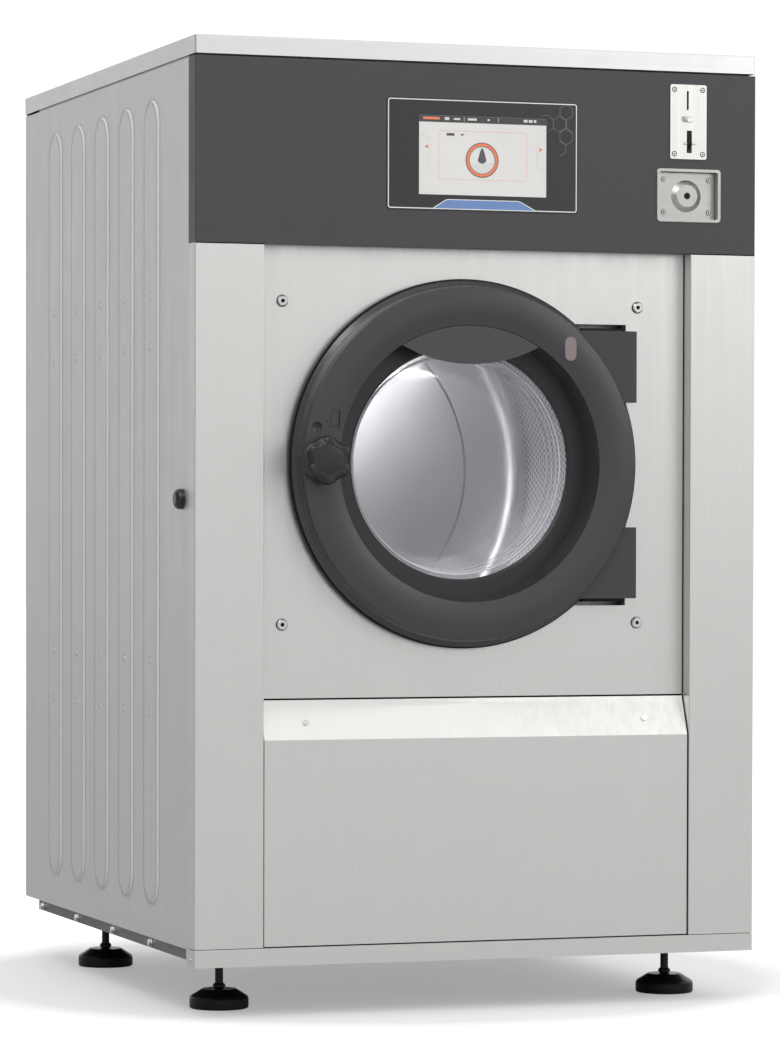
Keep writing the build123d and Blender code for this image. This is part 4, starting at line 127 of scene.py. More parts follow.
class Look(Shading):
    """One procedural material. Its patterns use object coordinates, so they move with the piece."""

    def __init__(self, name, metallic=0.0, roughness=0.5, specular=0.5, coat=0.0, anisotropic=0.0):
        self.material = bpy.data.materials.new(name)
        self.material.use_nodes = True
        super().__init__(self.material.node_tree)
        self.shader = self.tree.nodes["Principled BSDF"]
        self.shader.inputs["Metallic"].default_value = metallic
        self.shader.inputs["Roughness"].default_value = roughness
        self.shader.inputs["Specular IOR Level"].default_value = specular
        self.shader.inputs["Coat Weight"].default_value = coat
        self.shader.inputs["Coat Roughness"].default_value = 0.12
        self.shader.inputs["Anisotropic"].default_value = anisotropic
        self.coords = self.node("ShaderNodeTexCoord").outputs["Object"]

    def noise(self, scale, offset=(0, 0, 0), detail=3.0, rough=0.55, distortion=0.0, turn=(0, 0, 0)):
        """Noise of this many waves a metre along x, y and z."""
        stretched = self.node("ShaderNodeMapping")
        self.link(self.coords, stretched.inputs["Vector"])
        stretched.inputs["Scale"].default_value = scale
        stretched.inputs["Location"].default_value = offset
        stretched.inputs["Rotation"].default_value = turn
        made = self.node("ShaderNodeTexNoise")
        self.link(stretched.outputs["Vector"], made.inputs["Vector"])
        made.inputs["Scale"].default_value = 1.0
        made.inputs["Detail"].default_value = detail
        made.inputs["Roughness"].default_value = rough
        made.inputs["Distortion"].default_value = distortion
        return made.outputs["Fac"]

    def even_noise(self, scale, **values):
        """Noise of as many waves a metre each way."""
        return self.noise((scale, scale, scale), **values)

    def facing(self):
        """The way that the surface faces."""
        return self.node("ShaderNodeNewGeometry").outputs["Normal"]

    def facing_nearby(self, radius, samples):
        """The way that the surface faces on average within this radius, which differs from facing at edges."""
        made = self.node("ShaderNodeBevel", samples=samples)
        made.inputs["Radius"].default_value = radius
        return made.outputs[0]

    def edges(self, radius):
        """High on convex edges of this radius or sharper, low on flat faces."""
        alike = self.node("ShaderNodeVectorMath", operation="DOT_PRODUCT")
        self.link(self.facing_nearby(radius, 4), alike.inputs[0])
        self.link(self.facing(), alike.inputs[1])
        return self.spread(alike.outputs["Value"], 1.0, 0.0, 0.75, 0.98)

    def bump(self, height, distance, onto=None):
        made = self.node("ShaderNodeBump")
        made.inputs["Distance"].default_value = distance
        self.link(height, made.inputs["Height"])
        if onto is not None:
            self.link(onto, made.inputs["Normal"])
        return made.outputs[0]

    def from_door_axis(self):
        """A point's steps across and up from the door's axis, and its place along it."""
        x, y, z = self.split(self.coords)
        return self.math("SUBTRACT", x, DOOR_X), self.math("SUBTRACT", z, DOOR_Z), y

    def finish(self, colour, roughness=None, normal=None):
        self.link(colour, self.shader.inputs["Base Color"])
        if roughness is not None:
            self.link(roughness, self.shader.inputs["Roughness"])
        if normal is not None:
            self.link(normal, self.shader.inputs["Normal"])
        return self.material


def shade(colour, amount):
    return tuple(min(1.0, c * amount) for c in colour)


def brushed(name, colour, along, contrast=0.05, rough=(0.3, 0.42), grain=1400.0, smudge=0.03, slope_light_shade=0.0):
    """Brushed metal. along is the axis that the grain runs on, 0, 1 or 2. The last argument sets how strongly
    the slopes
    of embossed ribs and dimples are painted: a painted highlight, white and less metallic, where they face the
    front, and a painted shade where they face the rear, which spills onto the flat behind them."""
    look = Look(name, metallic=1.0, anisotropic=0.35)
    fine = [grain] * 3
    fine[along] = grain / 90.0
    wide = [grain / 9.0] * 3
    wide[along] = grain / 700.0
    threads = look.noise(tuple(fine), detail=2.0)
    streaks = look.noise(tuple(wide), offset=(3.1, 1.7, 0.4), detail=4.0, rough=0.6)
    clouds = look.noise((3.1, 3.1, 2.3), offset=(0.3, 5.0, 1.0), detail=4.0, distortion=0.6)
    marks = look.noise((23.0, 23.0, 17.0), offset=(7.3, 2.0, 4.0), detail=5.0, rough=0.65)
    light_threads = look.spread(threads, 0.0, 1.0, 0.32, 0.68)
    base = look.mix(light_threads, shade(colour, 1 - contrast), shade(colour, 1 + contrast))
    base = look.mix(look.spread(streaks, 0.0, 0.5), base, shade(colour, 1 - 1.3 * contrast))
    base = look.mix(look.spread(clouds, 0.0, 0.5), base, shade(colour, 1 - smudge))
    # Painted highlight on slopes that face the front, painted shade on and behind slopes that face the rear.
    if slope_light_shade:
        facing_rear = look.split(look.facing())[1]
        painted_front_highlight = look.spread(facing_rear, slope_light_shade, 0.0, -0.3, -0.05)
        nearby_rear = look.split(look.facing_nearby(0.01, 8))[1]
        painted_rear_shade = look.spread(nearby_rear, 0.0, slope_light_shade, 0.01, 0.1)
        base = look.mix(painted_front_highlight, base, (0.8, 0.8, 0.8))
        base = look.mix(painted_rear_shade, base, shade(colour, 0.45))
        look.link(look.math("SUBTRACT", 1.0, painted_front_highlight), look.shader.inputs["Metallic"])
    rough_value = look.math("ADD", look.spread(streaks, *rough), look.spread(marks, -0.02, 0.05))
    height = look.math("ADD", look.math("MULTIPLY", threads, 0.7), look.math("MULTIPLY", streaks, 0.5))
    return look.finish(base, rough_value, look.bump(height, 0.000012))


def coated(name, colour, rough=(0.38, 0.5), peel=420.0, depth=0.00002, variation=0.06, edge=None,
           edge_radius=0.001, specular=0.5, coat=0.0, metallic=0.0):
    """Powder coat, paint, rubber or plastic, with a fine peel. edge is the colour of worn edges, if any."""
    look = Look(name, specular=specular, coat=coat, metallic=metallic)
    peel_noise = look.even_noise(peel, detail=2.0)
    cloud = look.noise((5.0, 5.0, 4.0), offset=(1.0, 8.0, 2.0), detail=4.0, distortion=0.4)
    speck = look.even_noise(150.0, offset=(4.0, 4.0, 1.0), rough=0.7)
    base = look.mix(look.spread(cloud, 0.0, 1.0), shade(colour, 1 - variation), shade(colour, 1 + variation))
    base = look.mix(look.spread(speck, 0.0, 0.35, 0.45, 0.75), base, shade(colour, 1 + 2.2 * variation))
    if edge is not None:
        worn = look.math("MULTIPLY", look.edges(edge_radius), look.spread(speck, 0.35, 0.9, 0.3, 0.6))
        base = look.mix(worn, base, edge)
    rough_value = look.math("ADD", look.spread(cloud, *rough), look.spread(peel_noise, -0.03, 0.03))
    return look.finish(base, rough_value, look.bump(peel_noise, depth))


def turned_look():
    """Lathe-turned metal, with rings round the door's axis."""
    look = Look("turned_parts", metallic=1.0, anisotropic=0.2)
    across, up = look.from_door_axis()[:2]
    wave = look.node("ShaderNodeTexNoise", noise_dimensions="1D")
    wave.inputs["Scale"].default_value = 900.0
    wave.inputs["Detail"].default_value = 3.0
    look.link(look.distance(across, up), wave.inputs["W"])
    rings = wave.outputs["Fac"]
    cloud = look.even_noise(9.0, detail=4.0)
    colour, contrast = (0.55, 0.55, 0.56), 0.08
    base = look.mix(look.spread(rings, 0.0, 1.0), shade(colour, 1 - contrast), shade(colour, 1 + contrast))
    base = look.mix(look.spread(cloud, 0.0, 0.4), base, shade(colour, 1 - contrast))
    rough_value = look.math("ADD", look.spread(rings, 0.22, 0.38), look.spread(cloud, -0.02, 0.05))
    return look.finish(base, rough_value, look.bump(rings, 0.00001))


# Holes of the drum's wall, in rows round it. Every other row is moved round by half a hole.
HOLE_PITCH = 0.0105
ROW_PITCH = HOLE_PITCH * 0.866
HOLES_FRONT, HOLES_REAR = -0.36, 0.17


def drum_holes(look, angle, radius, along):
    """High in the holes of the drum's wall, low beside them and on its back."""
    column = look.math("DIVIDE", look.math("MULTIPLY", angle, DRUM_RADIUS), HOLE_PITCH)
    row = look.math("DIVIDE", along, ROW_PITCH)
    shift = look.math("MULTIPLY", look.math("MODULO", look.math("FLOOR", row), 2.0), 0.5)
    shifted = look.math("ADD", look.math("ADD", column, 200.0), shift)
    from_column = look.math("SUBTRACT", look.math("FRACT", shifted), 0.5)
    from_row = look.math("SUBTRACT", look.math("FRACT", look.math("ADD", row, 200.0)), 0.5)
    hole_shade = look.spread(look.distance(from_column, from_row), 1.0, 0.0, 0.26, 0.33)
    on_wall = look.spread(radius, 0.0, 1.0, DRUM_RADIUS - 0.003, DRUM_RADIUS - 0.002)
    before_rear = look.spread(along, 1.0, 0.0, HOLES_REAR, HOLES_REAR + 0.002)
    behind_front = look.spread(along, 0.0, 1.0, HOLES_FRONT - 0.002, HOLES_FRONT)
    punched = look.math("MULTIPLY", look.math("MULTIPLY", on_wall, before_rear), behind_front)
    return look.math("MULTIPLY", hole_shade, punched)


def drum_look():
    """Drum sheet: punched with small round holes on its wall, drawn as dots of painted shade with a sunken
    bump, and brushed in wide arcs on its back.
    """
    look = Look("drum_sheet", metallic=1.0, anisotropic=0.2)
    across, up, along = look.from_door_axis()
    radius = look.distance(across, up)
    angle = look.math("ARCTAN2", up, across)
    hole_shade = drum_holes(look, angle, radius, along)
    spin = look.node("ShaderNodeCombineXYZ")
    look.link(look.math("MULTIPLY", angle, 1.3), spin.inputs[0])
    look.link(look.math("MULTIPLY", radius, 260.0), spin.inputs[1])
    turning = look.node("ShaderNodeTexNoise")
    look.link(spin.outputs[0], turning.inputs["Vector"])
    turning.inputs["Scale"].default_value = 1.0
    turning.inputs["Detail"].default_value = 4.0
    arcs = turning.outputs["Fac"]
    sweep = look.noise((1500.0, 1500.0, 40.0), detail=2.0, turn=(0.0, 0.6, 0.0))
    cloud = look.even_noise(6.0, detail=4.0, distortion=0.5)
    colour = (0.53, 0.53, 0.555)
    base = look.mix(look.spread(arcs, 0.0, 1.0), shade(colour, 0.98), shade(colour, 1.02))
    base = look.mix(look.spread(cloud, 0.0, 0.4), base, shade(colour, 0.9))
    # The holes' dark colour is painted shade, for the dim tub seen through them.
    base = look.mix(hole_shade, base, (0.085, 0.085, 0.09))
    rough_value = look.math("ADD", look.spread(arcs, 0.36, 0.4), look.spread(sweep, -0.01, 0.02))
    fine = look.bump(arcs, 0.0000004)
    return look.finish(base, rough_value, look.bump(look.math("SUBTRACT", 0.0, hole_shade), 0.0006, onto=fine))


def glass_look():
    """Clear bowl: nearly see-through where it is faced, and brighter on its steep sides and rim with a painted
    whitish reflection.
    """
    look = Look("door_glass", roughness=0.05, specular=0.8, coat=0.3)
    facing = look.node("ShaderNodeLayerWeight")
    facing.inputs["Blend"].default_value = 0.5
    smears = look.even_noise(7.0, detail=5.0, distortion=1.2)
    waves = look.noise((2.0, 90.0, 2.0), offset=(0.0, 0.3, 0.0), detail=2.0)
    # The whitish colour that shows where the bowl is seen at a slant is painted reflection; smears add real
    # smudges.
    painted_sheen = look.spread(facing.outputs["Facing"], 0.05, 0.5, 0.25, 1.0)
    painted_sheen = look.math("ADD", painted_sheen, look.spread(smears, 0.0, 0.02))
    base = look.mix(look.spread(waves, 0.0, 1.0), (0.55, 0.56, 0.58), (0.8, 0.81, 0.83))
    look.link(painted_sheen, look.shader.inputs["Alpha"])
    return look.finish(base, look.spread(smears, 0.03, 0.09), look.bump(waves, 0.00004))


def printed(name, colour):
    """A printed colour under a smooth surface."""
    look = Look(name, roughness=0.35, coat=0.5)
    cloud = look.even_noise(40.0)
    grain = look.even_noise(900.0, detail=2.0)
    base = look.mix(look.spread(cloud, 0.0, 1.0), shade(colour, 0.96), shade(colour, 1.04))
    return look.finish(base, look.spread(grain, 0.3, 0.4), look.bump(grain, 0.000004))


def lit(name, colour, light, variation=0.03):
    """A part of the screen that gives a little light of its own."""
    look = Look(name, roughness=0.25, coat=0.5)
    cloud = look.even_noise(9.0)
    grain = look.even_noise(1500.0, detail=1.0)
    base = look.mix(look.spread(cloud, 0.0, 1.0), shade(colour, 1 - variation), shade(colour, 1 + variation))
    look.link(base, look.shader.inputs["Emission Color"])
    look.shader.inputs["Emission Strength"].default_value = light
    return look.finish(base, look.spread(grain, 0.22, 0.3))


STEEL = (0.71, 0.705, 0.69)
panels = brushed("brushed_front", STEEL, 2, contrast=0.035, rough=(0.34, 0.44))
sides = brushed("brushed_side", (0.7, 0.7, 0.7), 2, contrast=0.03, rough=(0.38, 0.48), smudge=0.05,
                slope_light_shade=0.85)
lid = brushed("brushed_lid", (0.72, 0.715, 0.705), 0, contrast=0.035, rough=(0.3, 0.4))
rail = brushed("brushed_rail", STEEL, 0, contrast=0.04, rough=(0.34, 0.44))
rear = brushed("rear_sheet", (0.6, 0.605, 0.61), 2, contrast=0.05, rough=(0.42, 0.55), smudge=0.1)
coin_face = brushed("coin_face", (0.68, 0.67, 0.65), 2, contrast=0.04, rough=(0.26, 0.36), grain=2200.0)
coin_shell = brushed("coin_shell", (0.47, 0.46, 0.445), 0, contrast=0.05, rough=(0.28, 0.4), grain=2200.0)
tub_metal = brushed("tub_sheet", (0.6, 0.6, 0.6), 1, contrast=0.05, rough=(0.34, 0.46))
shafts = turned_look()
drum_sheet = drum_look()
bolts = coated("bolt_zinc", (0.66, 0.66, 0.65), rough=(0.24, 0.34), metallic=1.0, peel=900.0, variation=0.08)
fascia = coated("fascia_coat", (0.045, 0.044, 0.050), rough=(0.42, 0.52), peel=700.0, variation=0.05,
                edge=(0.12, 0.12, 0.125), edge_radius=0.0008)
ring_paint = coated("door_ring", (0.040, 0.039, 0.044), rough=(0.24, 0.3), peel=1500.0, variation=0.05,
                    edge=(0.1, 0.1, 0.105), edge_radius=0.0012)
knob_paint = coated("knob_plastic", (0.012, 0.012, 0.0125), rough=(0.26, 0.34), peel=1000.0, variation=0.07)
arm_paint = coated("arm_coat", (0.034, 0.033, 0.037), rough=(0.42, 0.5), peel=700.0, variation=0.07,
                   edge=(0.1, 0.1, 0.1))
plate_black = coated("door_plate", (0.006, 0.006, 0.007), rough=(0.4, 0.5), peel=800.0, variation=0.1,
                     edge=(0.03, 0.03, 0.03), specular=0.25)
inner_black = coated("door_inner", (0.014, 0.014, 0.016), rough=(0.34, 0.46), peel=800.0, variation=0.08)
visor_look = coated("visor", (0.040, 0.039, 0.044), rough=(0.22, 0.3), peel=500.0, variation=0.04, coat=0.25)
lamp_look = coated("lamp_lens", (0.215, 0.17, 0.167), rough=(0.18, 0.28), peel=300.0, variation=0.1, coat=0.4)
bezel_look = coated("bezel", (0.02, 0.0195, 0.023), rough=(0.28, 0.36), peel=600.0, variation=0.05)
plastic = coated("dark_plastic", (0.03, 0.03, 0.032), rough=(0.45, 0.6), peel=900.0, variation=0.1)
grey_parts = coated("grey_plastic", (0.3, 0.3, 0.31), rough=(0.45, 0.6), peel=900.0, variation=0.08)
grey_coat = coated("grey_coat", (0.33, 0.33, 0.34), rough=(0.45, 0.58), variation=0.08,
                   edge=(0.5, 0.5, 0.5), edge_radius=0.0012)
frame_coat = coated("frame_coat", (0.11, 0.11, 0.115), rough=(0.42, 0.55), variation=0.12,
                    edge=(0.3, 0.3, 0.3), edge_radius=0.0012)
rubber = coated("rubber", (0.018, 0.018, 0.018), rough=(0.6, 0.8), peel=500.0, depth=0.00005, variation=0.12)
feet = coated("foot_rubber", (0.004, 0.005, 0.005), specular=0.25, rough=(0.25, 0.36), peel=600.0,
              variation=0.12, edge=(0.04, 0.04, 0.04), edge_radius=0.0015)
iron = coated("cast_iron", (0.17, 0.175, 0.18), rough=(0.5, 0.65), peel=160.0, depth=0.0002, variation=0.12,
              edge=(0.35, 0.35, 0.35), edge_radius=0.0015)
motor_coat = coated("motor_coat", (0.12, 0.14, 0.165), rough=(0.4, 0.52), peel=300.0, depth=0.00006,
                    variation=0.1, edge=(0.3, 0.31, 0.33), edge_radius=0.0012)
spring_steel = coated("spring_coat", (0.06, 0.06, 0.065), rough=(0.3, 0.45), peel=600.0, variation=0.12)
# Black for painted shade: in the gaps round the front panels and in and round the screw sockets.
painted_shade_black = coated("painted_shade_black", (0.004, 0.004, 0.004), rough=(0.6, 0.8), peel=500.0, variation=0.1,
                    specular=0.1)
# Whitish glossy rings inside the glass bowl, as painted highlights.
glass_highlight = coated("glass_ring", (0.72, 0.72, 0.74), rough=(0.14, 0.22), peel=500.0, variation=0.05, coat=0.5)
glass = glass_look()
screen_white = lit("screen_white", (0.64, 0.63, 0.61), 0.14)
screen_dark = lit("screen_dark", (0.035, 0.035, 0.038), 0.05, 0.1)
screen_grey = lit("screen_grey", (0.55, 0.54, 0.53), 0.2)
screen_orange = lit("screen_orange", (0.62, 0.16, 0.07), 0.25)
screen_pink = lit("screen_pink", (0.68, 0.42, 0.37), 0.2)
screen_ink = lit("screen_ink", (0.07, 0.07, 0.08), 0.05)
line_white = printed("line_white", (0.8, 0.8, 0.8))
line_grey = printed("line_grey", (0.12, 0.12, 0.13))
line_black = printed("line_black", (0.008, 0.008, 0.009))
tab_blue = printed("tab_blue", (0.13, 0.24, 0.5))

# The look of each material slot, and then of the nodes that look different from their slot.
looks = {
    "brushed_stainless": panels,
    "lid_stainless": lid,
    "grey_steel": grey_coat,
    "galvanised_steel": rear,
    "dark_fascia": fascia,
    "frame_paint": frame_coat,
    "bezel_black": bezel_look,
    "screen_glass": screen_white,
    "dark_plastic": plastic,
    "coin_steel": coin_face,
    "machined_steel": shafts,
    "door_ring_paint": ring_paint,
    "door_plate_paint": plate_black,
    "black_rubber": rubber,
    "door_glass": glass,
    "visor_plastic": visor_look,
    "lamp_plastic": lamp_look,
    "drum_stainless": drum_sheet,
    "tub_stainless": tub_metal,
    "cast_grey": iron,
    "motor_paint": motor_coat,
    "bolt_steel": bolts,
    "grey_plastic": grey_parts,
}
own_looks = {
    "side_panel_left": sides,
    "side_panel_right": sides,
    "base_front_rail": rail,
    "coin_box": coin_shell,
    "coin_box_tray": coin_shell,
    "coin_lock_cylinder": plate_black,
    "door_inner_ring": inner_black,
    "door_knob": knob_paint,
    "door_release_button": knob_paint,
    "service_cap": knob_paint,
    "door_hinge_arms": arm_paint,
    "foot_pads": feet,
    "foot_stems": feet,
    "suspension_springs": spring_steel,
    # The hinge brackets take the door plate's black as painted shade in the slot round the hinge arms.
    "hinge_brackets": plate_black,
    "hinge_pins": plate_black,
    "coin_return_flap": plate_black,
}
for name, thing in nodes.items():
    for place in thing.material_slots:
        slot_name = place.material.name.split(".")[0]
        place.material = own_looks.get(name) or looks[slot_name]


# Outlines, in metres or in mm, as their caller gives them

def rectangle(left, right, low, high):
    return [(left, low), (right, low), (right, high), (left, high)]


def rounded(edges, corner, inset=0.0, steps=6):
    """A rectangle with round corners. edges is (left, right, low, high), and inset moves all four inwards."""
    left, right, low, high = edges[0] + inset, edges[1] - inset, edges[2] + inset, edges[3] - inset
    points = []
    for centre_x, centre_z, start in ((right - corner, high - corner, 0), (left + corner, high - corner, 90),
                                      (left + corner, low + corner, 180), (right - corner, low + corner, 270)):
        for i in range(steps + 1):
            angle = math.radians(start + 90.0 * i / steps)
            points.append((centre_x + corner * math.cos(angle), centre_z + corner * math.sin(angle)))
    return points


def circle(x, z, radius, steps=48):
    angles = [2 * math.pi * i / steps for i in range(steps)]
    return [(x + radius * math.cos(angle), z + radius * math.sin(angle)) for angle in angles]


def at_middle(points):
    """Outline points given in mm from the cabinet's middle and the floor, in metres."""
    return [(MIDDLE_X + x / 1000.0, z / 1000.0) for x, z in points]


# Shapes that the pieces are made of

def prism(bm, near_points, far_points):
    """A closed piece between two outlines with as many points."""
    near = [bm.verts.new(point) for point in near_points]
    far = [bm.verts.new(point) for point in far_points]
    bm.faces.new(near)
    bm.faces.new(list(reversed(far)))
    for i in range(len(near)):
        j = (i + 1) % len(near)
        bm.faces.new((near[j], near[i], far[i], far[j]))


def slab(bm, outline, front, back):
    """A piece with this outline, points (x, z), between two places from front to back."""
    prism(bm, [(x, front, z) for x, z in outline], [(x, back, z) for x, z in outline])


def side_slab(bm, outline, left, right):
    """A piece with this outline, points (y, z), between two places across the machine."""
    prism(bm, [(left, y, z) for y, z in outline], [(right, y, z) for y, z in outline])


def band(bm, outer, inner, front, back):
    """A flat closed band between two outlines with as many points."""
    lines = ((outer, front), (inner, front), (outer, back), (inner, back))
    rings = [[bm.verts.new((x, y, z)) for x, z in line] for line, y in lines]
    for i in range(len(outer)):
        j = (i + 1) % len(outer)
        bm.faces.new((rings[0][i], rings[0][j], rings[1][j], rings[1][i]))
        bm.faces.new((rings[2][j], rings[2][i], rings[3][i], rings[3][j]))
        bm.faces.new((rings[0][j], rings[0][i], rings[2][i], rings[2][j]))
        bm.faces.new((rings[1][i], rings[1][j], rings[3][j], rings[3][i]))


def stroke(bm, start, end, width, front, back):
    """A thin straight line of this width between two points (x, z)."""
    (ax, az), (bx, bz) = start, end
    length = math.hypot(bx - ax, bz - az)
    nx, nz = -(bz - az) / length * width / 2, (bx - ax) / length * width / 2
    slab(bm, [(ax - nx, az - nz), (bx - nx, bz - nz), (bx + nx, bz + nz), (ax + nx, az + nz)], front, back)


def turned_ring(bm, profile, steps=128):
    """A closed profile, points (radius, y), turned round the door's axis."""
    rings = []
    for i in range(steps):
        angle = 2 * math.pi * i / steps
        rings.append([bm.verts.new((DOOR_X + radius * math.cos(angle), y, DOOR_Z + radius * math.sin(angle)))
                      for radius, y in profile])
    for here, there in zip(rings, rings[1:] + rings[:1]):
        for k in range(len(profile)):
            m = (k + 1) % len(profile)
            bm.faces.new((here[k], here[m], there[m], there[k]))


# A print stands some layers of this thickness in front of its surface, and its back is sunk in the surface.
THIN = 0.00012
SUNK = 0.0003


def print_shape(bm, surface, layer, points):
    """A printed shape with this outline, in mm from the cabinet's middle."""
    slab(bm, at_middle(points), surface - THIN * layer, surface + SUNK)


def print_band(bm, surface, layer, outer, inner):
    """A printed band between two outlines, in mm from the cabinet's middle."""
    band(bm, at_middle(outer), at_middle(inner), surface - THIN * layer, surface + SUNK)


def print_line(bm, surface, layer, width, points):
    """A printed line through these points, in mm from the cabinet's middle. Its width is in metres."""
    placed = at_middle(points)
    for start, end in zip(placed[:-1], placed[1:]):
        stroke(bm, start, end, width, surface - THIN * layer, surface + SUNK)


def new_object(bm, name, look, smooth):
    bmesh.ops.recalc_face_normals(bm, faces=bm.faces)
    mesh = bpy.data.meshes.new(name)
    bm.to_mesh(mesh)
    bm.free()
    for face in mesh.polygons:
        face.use_smooth = smooth
    made = bpy.data.objects.new(name, mesh)
    bpy.context.scene.collection.objects.link(made)
    mesh.materials.append(look)
    return made


def piece(bm, name, look, body, smooth=False):
    made = new_object(bm, name, look, smooth)
    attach(made, body)


# Black border and thin white line round the display. Each has an inset and a corner outside, and then inside.
bezel_low, bezel_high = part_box("display_bezel")
bezel_edges = (bezel_low.x, bezel_high.x, bezel_low.z, bezel_high.z)
for name, look, slot, layer, (outer_inset, outer_corner), (inner_inset, inner_corner) in (
        ("bezel_border", line_black, "bezel_black", 1, (0.0004, 0.0048), (0.0021, 0.0036)),
        ("bezel_line", line_white, "screen_glass", 2, (0.002, 0.0037), (0.0034, 0.0026))):
    bm = bmesh.new()
    band(bm, rounded(bezel_edges, outer_corner, outer_inset), rounded(bezel_edges, inner_corner, inner_inset),
         BEZEL_FRONT - THIN * layer, BEZEL_FRONT + SUNK)
    piece(bm, name, look, "cabinet")

# Blue tab below the screen, with its white top line and no words.
tab_low = 1000.0 * bezel_low.z + 3.2
tab = [(-76.0, tab_low), (84.5, tab_low), (61.0, 1193.6), (57.0, 1194.6), (-53.0, 1194.6), (-57.0, 1193.6)]
tab_line = [(84.5, tab_low), (61.0, 1193.8), (57.0, 1194.9), (-53.0, 1194.9), (-57.0, 1193.8),
            (-76.0, tab_low)]
TAB_LINE_WIDTH = 0.0011
bm = bmesh.new()
print_shape(bm, BEZEL_FRONT, 3, tab)
piece(bm, "bezel_tab", tab_blue, "cabinet")
bm = bmesh.new()
print_line(bm, BEZEL_FRONT, 4, TAB_LINE_WIDTH, tab_line)
piece(bm, "bezel_tab_line", line_white, "cabinet")

# Plain honeycomb lines at the display's upper right corner, each drawn once. They stop at the bezel's edge,
# and the last cell is open at its left.
CELL = 11.6
CELL_CENTRES = ((133.5, 1329.0), (122.9, 1311.0), (144.1, 1311.0), (133.5, 1292.5), (122.9, 1274.5))
CELLS_RIGHT, CELLS_TOP, LAST_CELL_LEFT = 147.5, 1341.0, 114.0
HONEYCOMB_WIDTH = 0.0009
drawn = set()
bm = bmesh.new()
for centre in CELL_CENTRES:
    corners = []
    for angle in (math.radians(60 * i + 30) for i in range(6)):
        corners.append((centre[0] + CELL * math.cos(angle), centre[1] + CELL * math.sin(angle)))
    for start, end in zip(corners, corners[1:] + corners[:1]):
        key = frozenset((round(x), round(z)) for x, z in (start, end))
        past_edge = max(start[0], end[0]) > CELLS_RIGHT or max(start[1], end[1]) > CELLS_TOP
        left_open = centre == CELL_CENTRES[-1] and min(start[0], end[0]) < LAST_CELL_LEFT
        if key in drawn or past_edge or left_open:
            continue
        drawn.add(key)
        print_line(bm, BEZEL_FRONT, 1, HONEYCOMB_WIDTH, (start, end))
for points in (((112.8, 1316.8), (104.0, 1324.0), (94.0, 1322.0)), ((112.8, 1305.2), (106.0, 1300.0))):
    print_line(bm, BEZEL_FRONT, 1, HONEYCOMB_WIDTH, points)
piece(bm, "bezel_honeycomb", line_grey, "cabinet")

# Screen layout without words, in mm from the cabinet's middle. First the status bar, with plain marks on it.
screen_low, screen_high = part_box("display_screen")
screen_left, screen_right = 1000 * (screen_low.x - MIDDLE_X), 1000 * (screen_high.x - MIDDLE_X)
screen_top = 1000 * screen_high.z
BAR_FOOT = 1308.0
bm = bmesh.new()
print_shape(bm, SCREEN_FRONT, 1, rectangle(screen_left + 0.2, screen_right - 0.2, BAR_FOOT, screen_top - 0.2))
piece(bm, "screen_status_bar", screen_dark, "cabinet")
bm = bmesh.new()
for left, right, low, high in ((-58.0, -51.0, 1311.4, 1315.6), (-44.0, -34.0, 1312.0, 1314.6),
                               (-28.0, -27.4, 1310.0, 1316.6), (-22.0, -8.0, 1311.8, 1315.0),
                               (9.0, 12.5, 1312.0, 1314.4), (26.0, 26.6, 1310.0, 1316.6),
                               (66.0, 72.0, 1311.6, 1315.6), (74.0, 80.0, 1311.6, 1315.6),
                               (82.0, 86.0, 1311.6, 1315.6)):
    print_shape(bm, SCREEN_FRONT, 2, rectangle(left, right, low, high))
piece(bm, "screen_status_marks", screen_grey, "cabinet")

# The orange mark in the status bar, an arrow at each side and the round symbol's ring.
SYMBOL_X, SYMBOL_Z = 0.6, 1254.0
bm = bmesh.new()
print_shape(bm, SCREEN_FRONT, 2, rectangle(-92.0, -66.0, 1311.6, 1315.4))
print_shape(bm, SCREEN_FRONT, 3, [(-89.5, 1272.0), (-84.0, 1269.2), (-84.0, 1274.8)])
print_shape(bm, SCREEN_FRONT, 3, [(96.5, 1272.0), (91.0, 1274.8), (91.0, 1269.2)])
print_band(bm, SCREEN_FRONT, 4, circle(SYMBOL_X, SYMBOL_Z, 24.6), circle(SYMBOL_X, SYMBOL_Z, 20.4))
piece(bm, "screen_orange_marks", screen_orange, "cabinet")

# The frame line round the symbol.
frame_edges = (-67.0, 71.0, 1224.6, 1296.4)
bm = bmesh.new()
print_band(bm, SCREEN_FRONT, 2, rounded(frame_edges, 3.0), rounded(frame_edges, 2.5, 0.7))
piece(bm, "screen_frame_line", screen_pink, "cabinet")

# Dark lines outside and inside the symbol's ring, a drop in it, and two marks at the frame's upper left.
DROP_RADIUS, DROP_TIP, DROP_Z = 7.0, 9.0, 1256.0
drop = []
for degrees in range(0, 360, 15):
    angle = math.radians(degrees)
    narrowed = 1.0 if degrees > 180 else 0.82
    tip = DROP_TIP * math.sin(angle) ** 4 if degrees < 180 else 0.0
    drop.append((SYMBOL_X + DROP_RADIUS * math.cos(angle) * narrowed,
                 DROP_Z + DROP_RADIUS * math.sin(angle) + tip))
bm = bmesh.new()
print_band(bm, SCREEN_FRONT, 4, circle(SYMBOL_X, SYMBOL_Z, 25.8), circle(SYMBOL_X, SYMBOL_Z, 24.6))
print_band(bm, SCREEN_FRONT, 5, circle(SYMBOL_X, SYMBOL_Z, 20.5), circle(SYMBOL_X, SYMBOL_Z, 19.8))
print_shape(bm, SCREEN_FRONT, 4, drop)
print_shape(bm, SCREEN_FRONT, 3, rectangle(-55.0, -43.0, 1288.6, 1292.4))
print_shape(bm, SCREEN_FRONT, 3, [(-33.6, 1291.6), (-30.6, 1288.4), (-27.6, 1291.6)])
piece(bm, "screen_dark_marks", screen_ink, "cabinet")

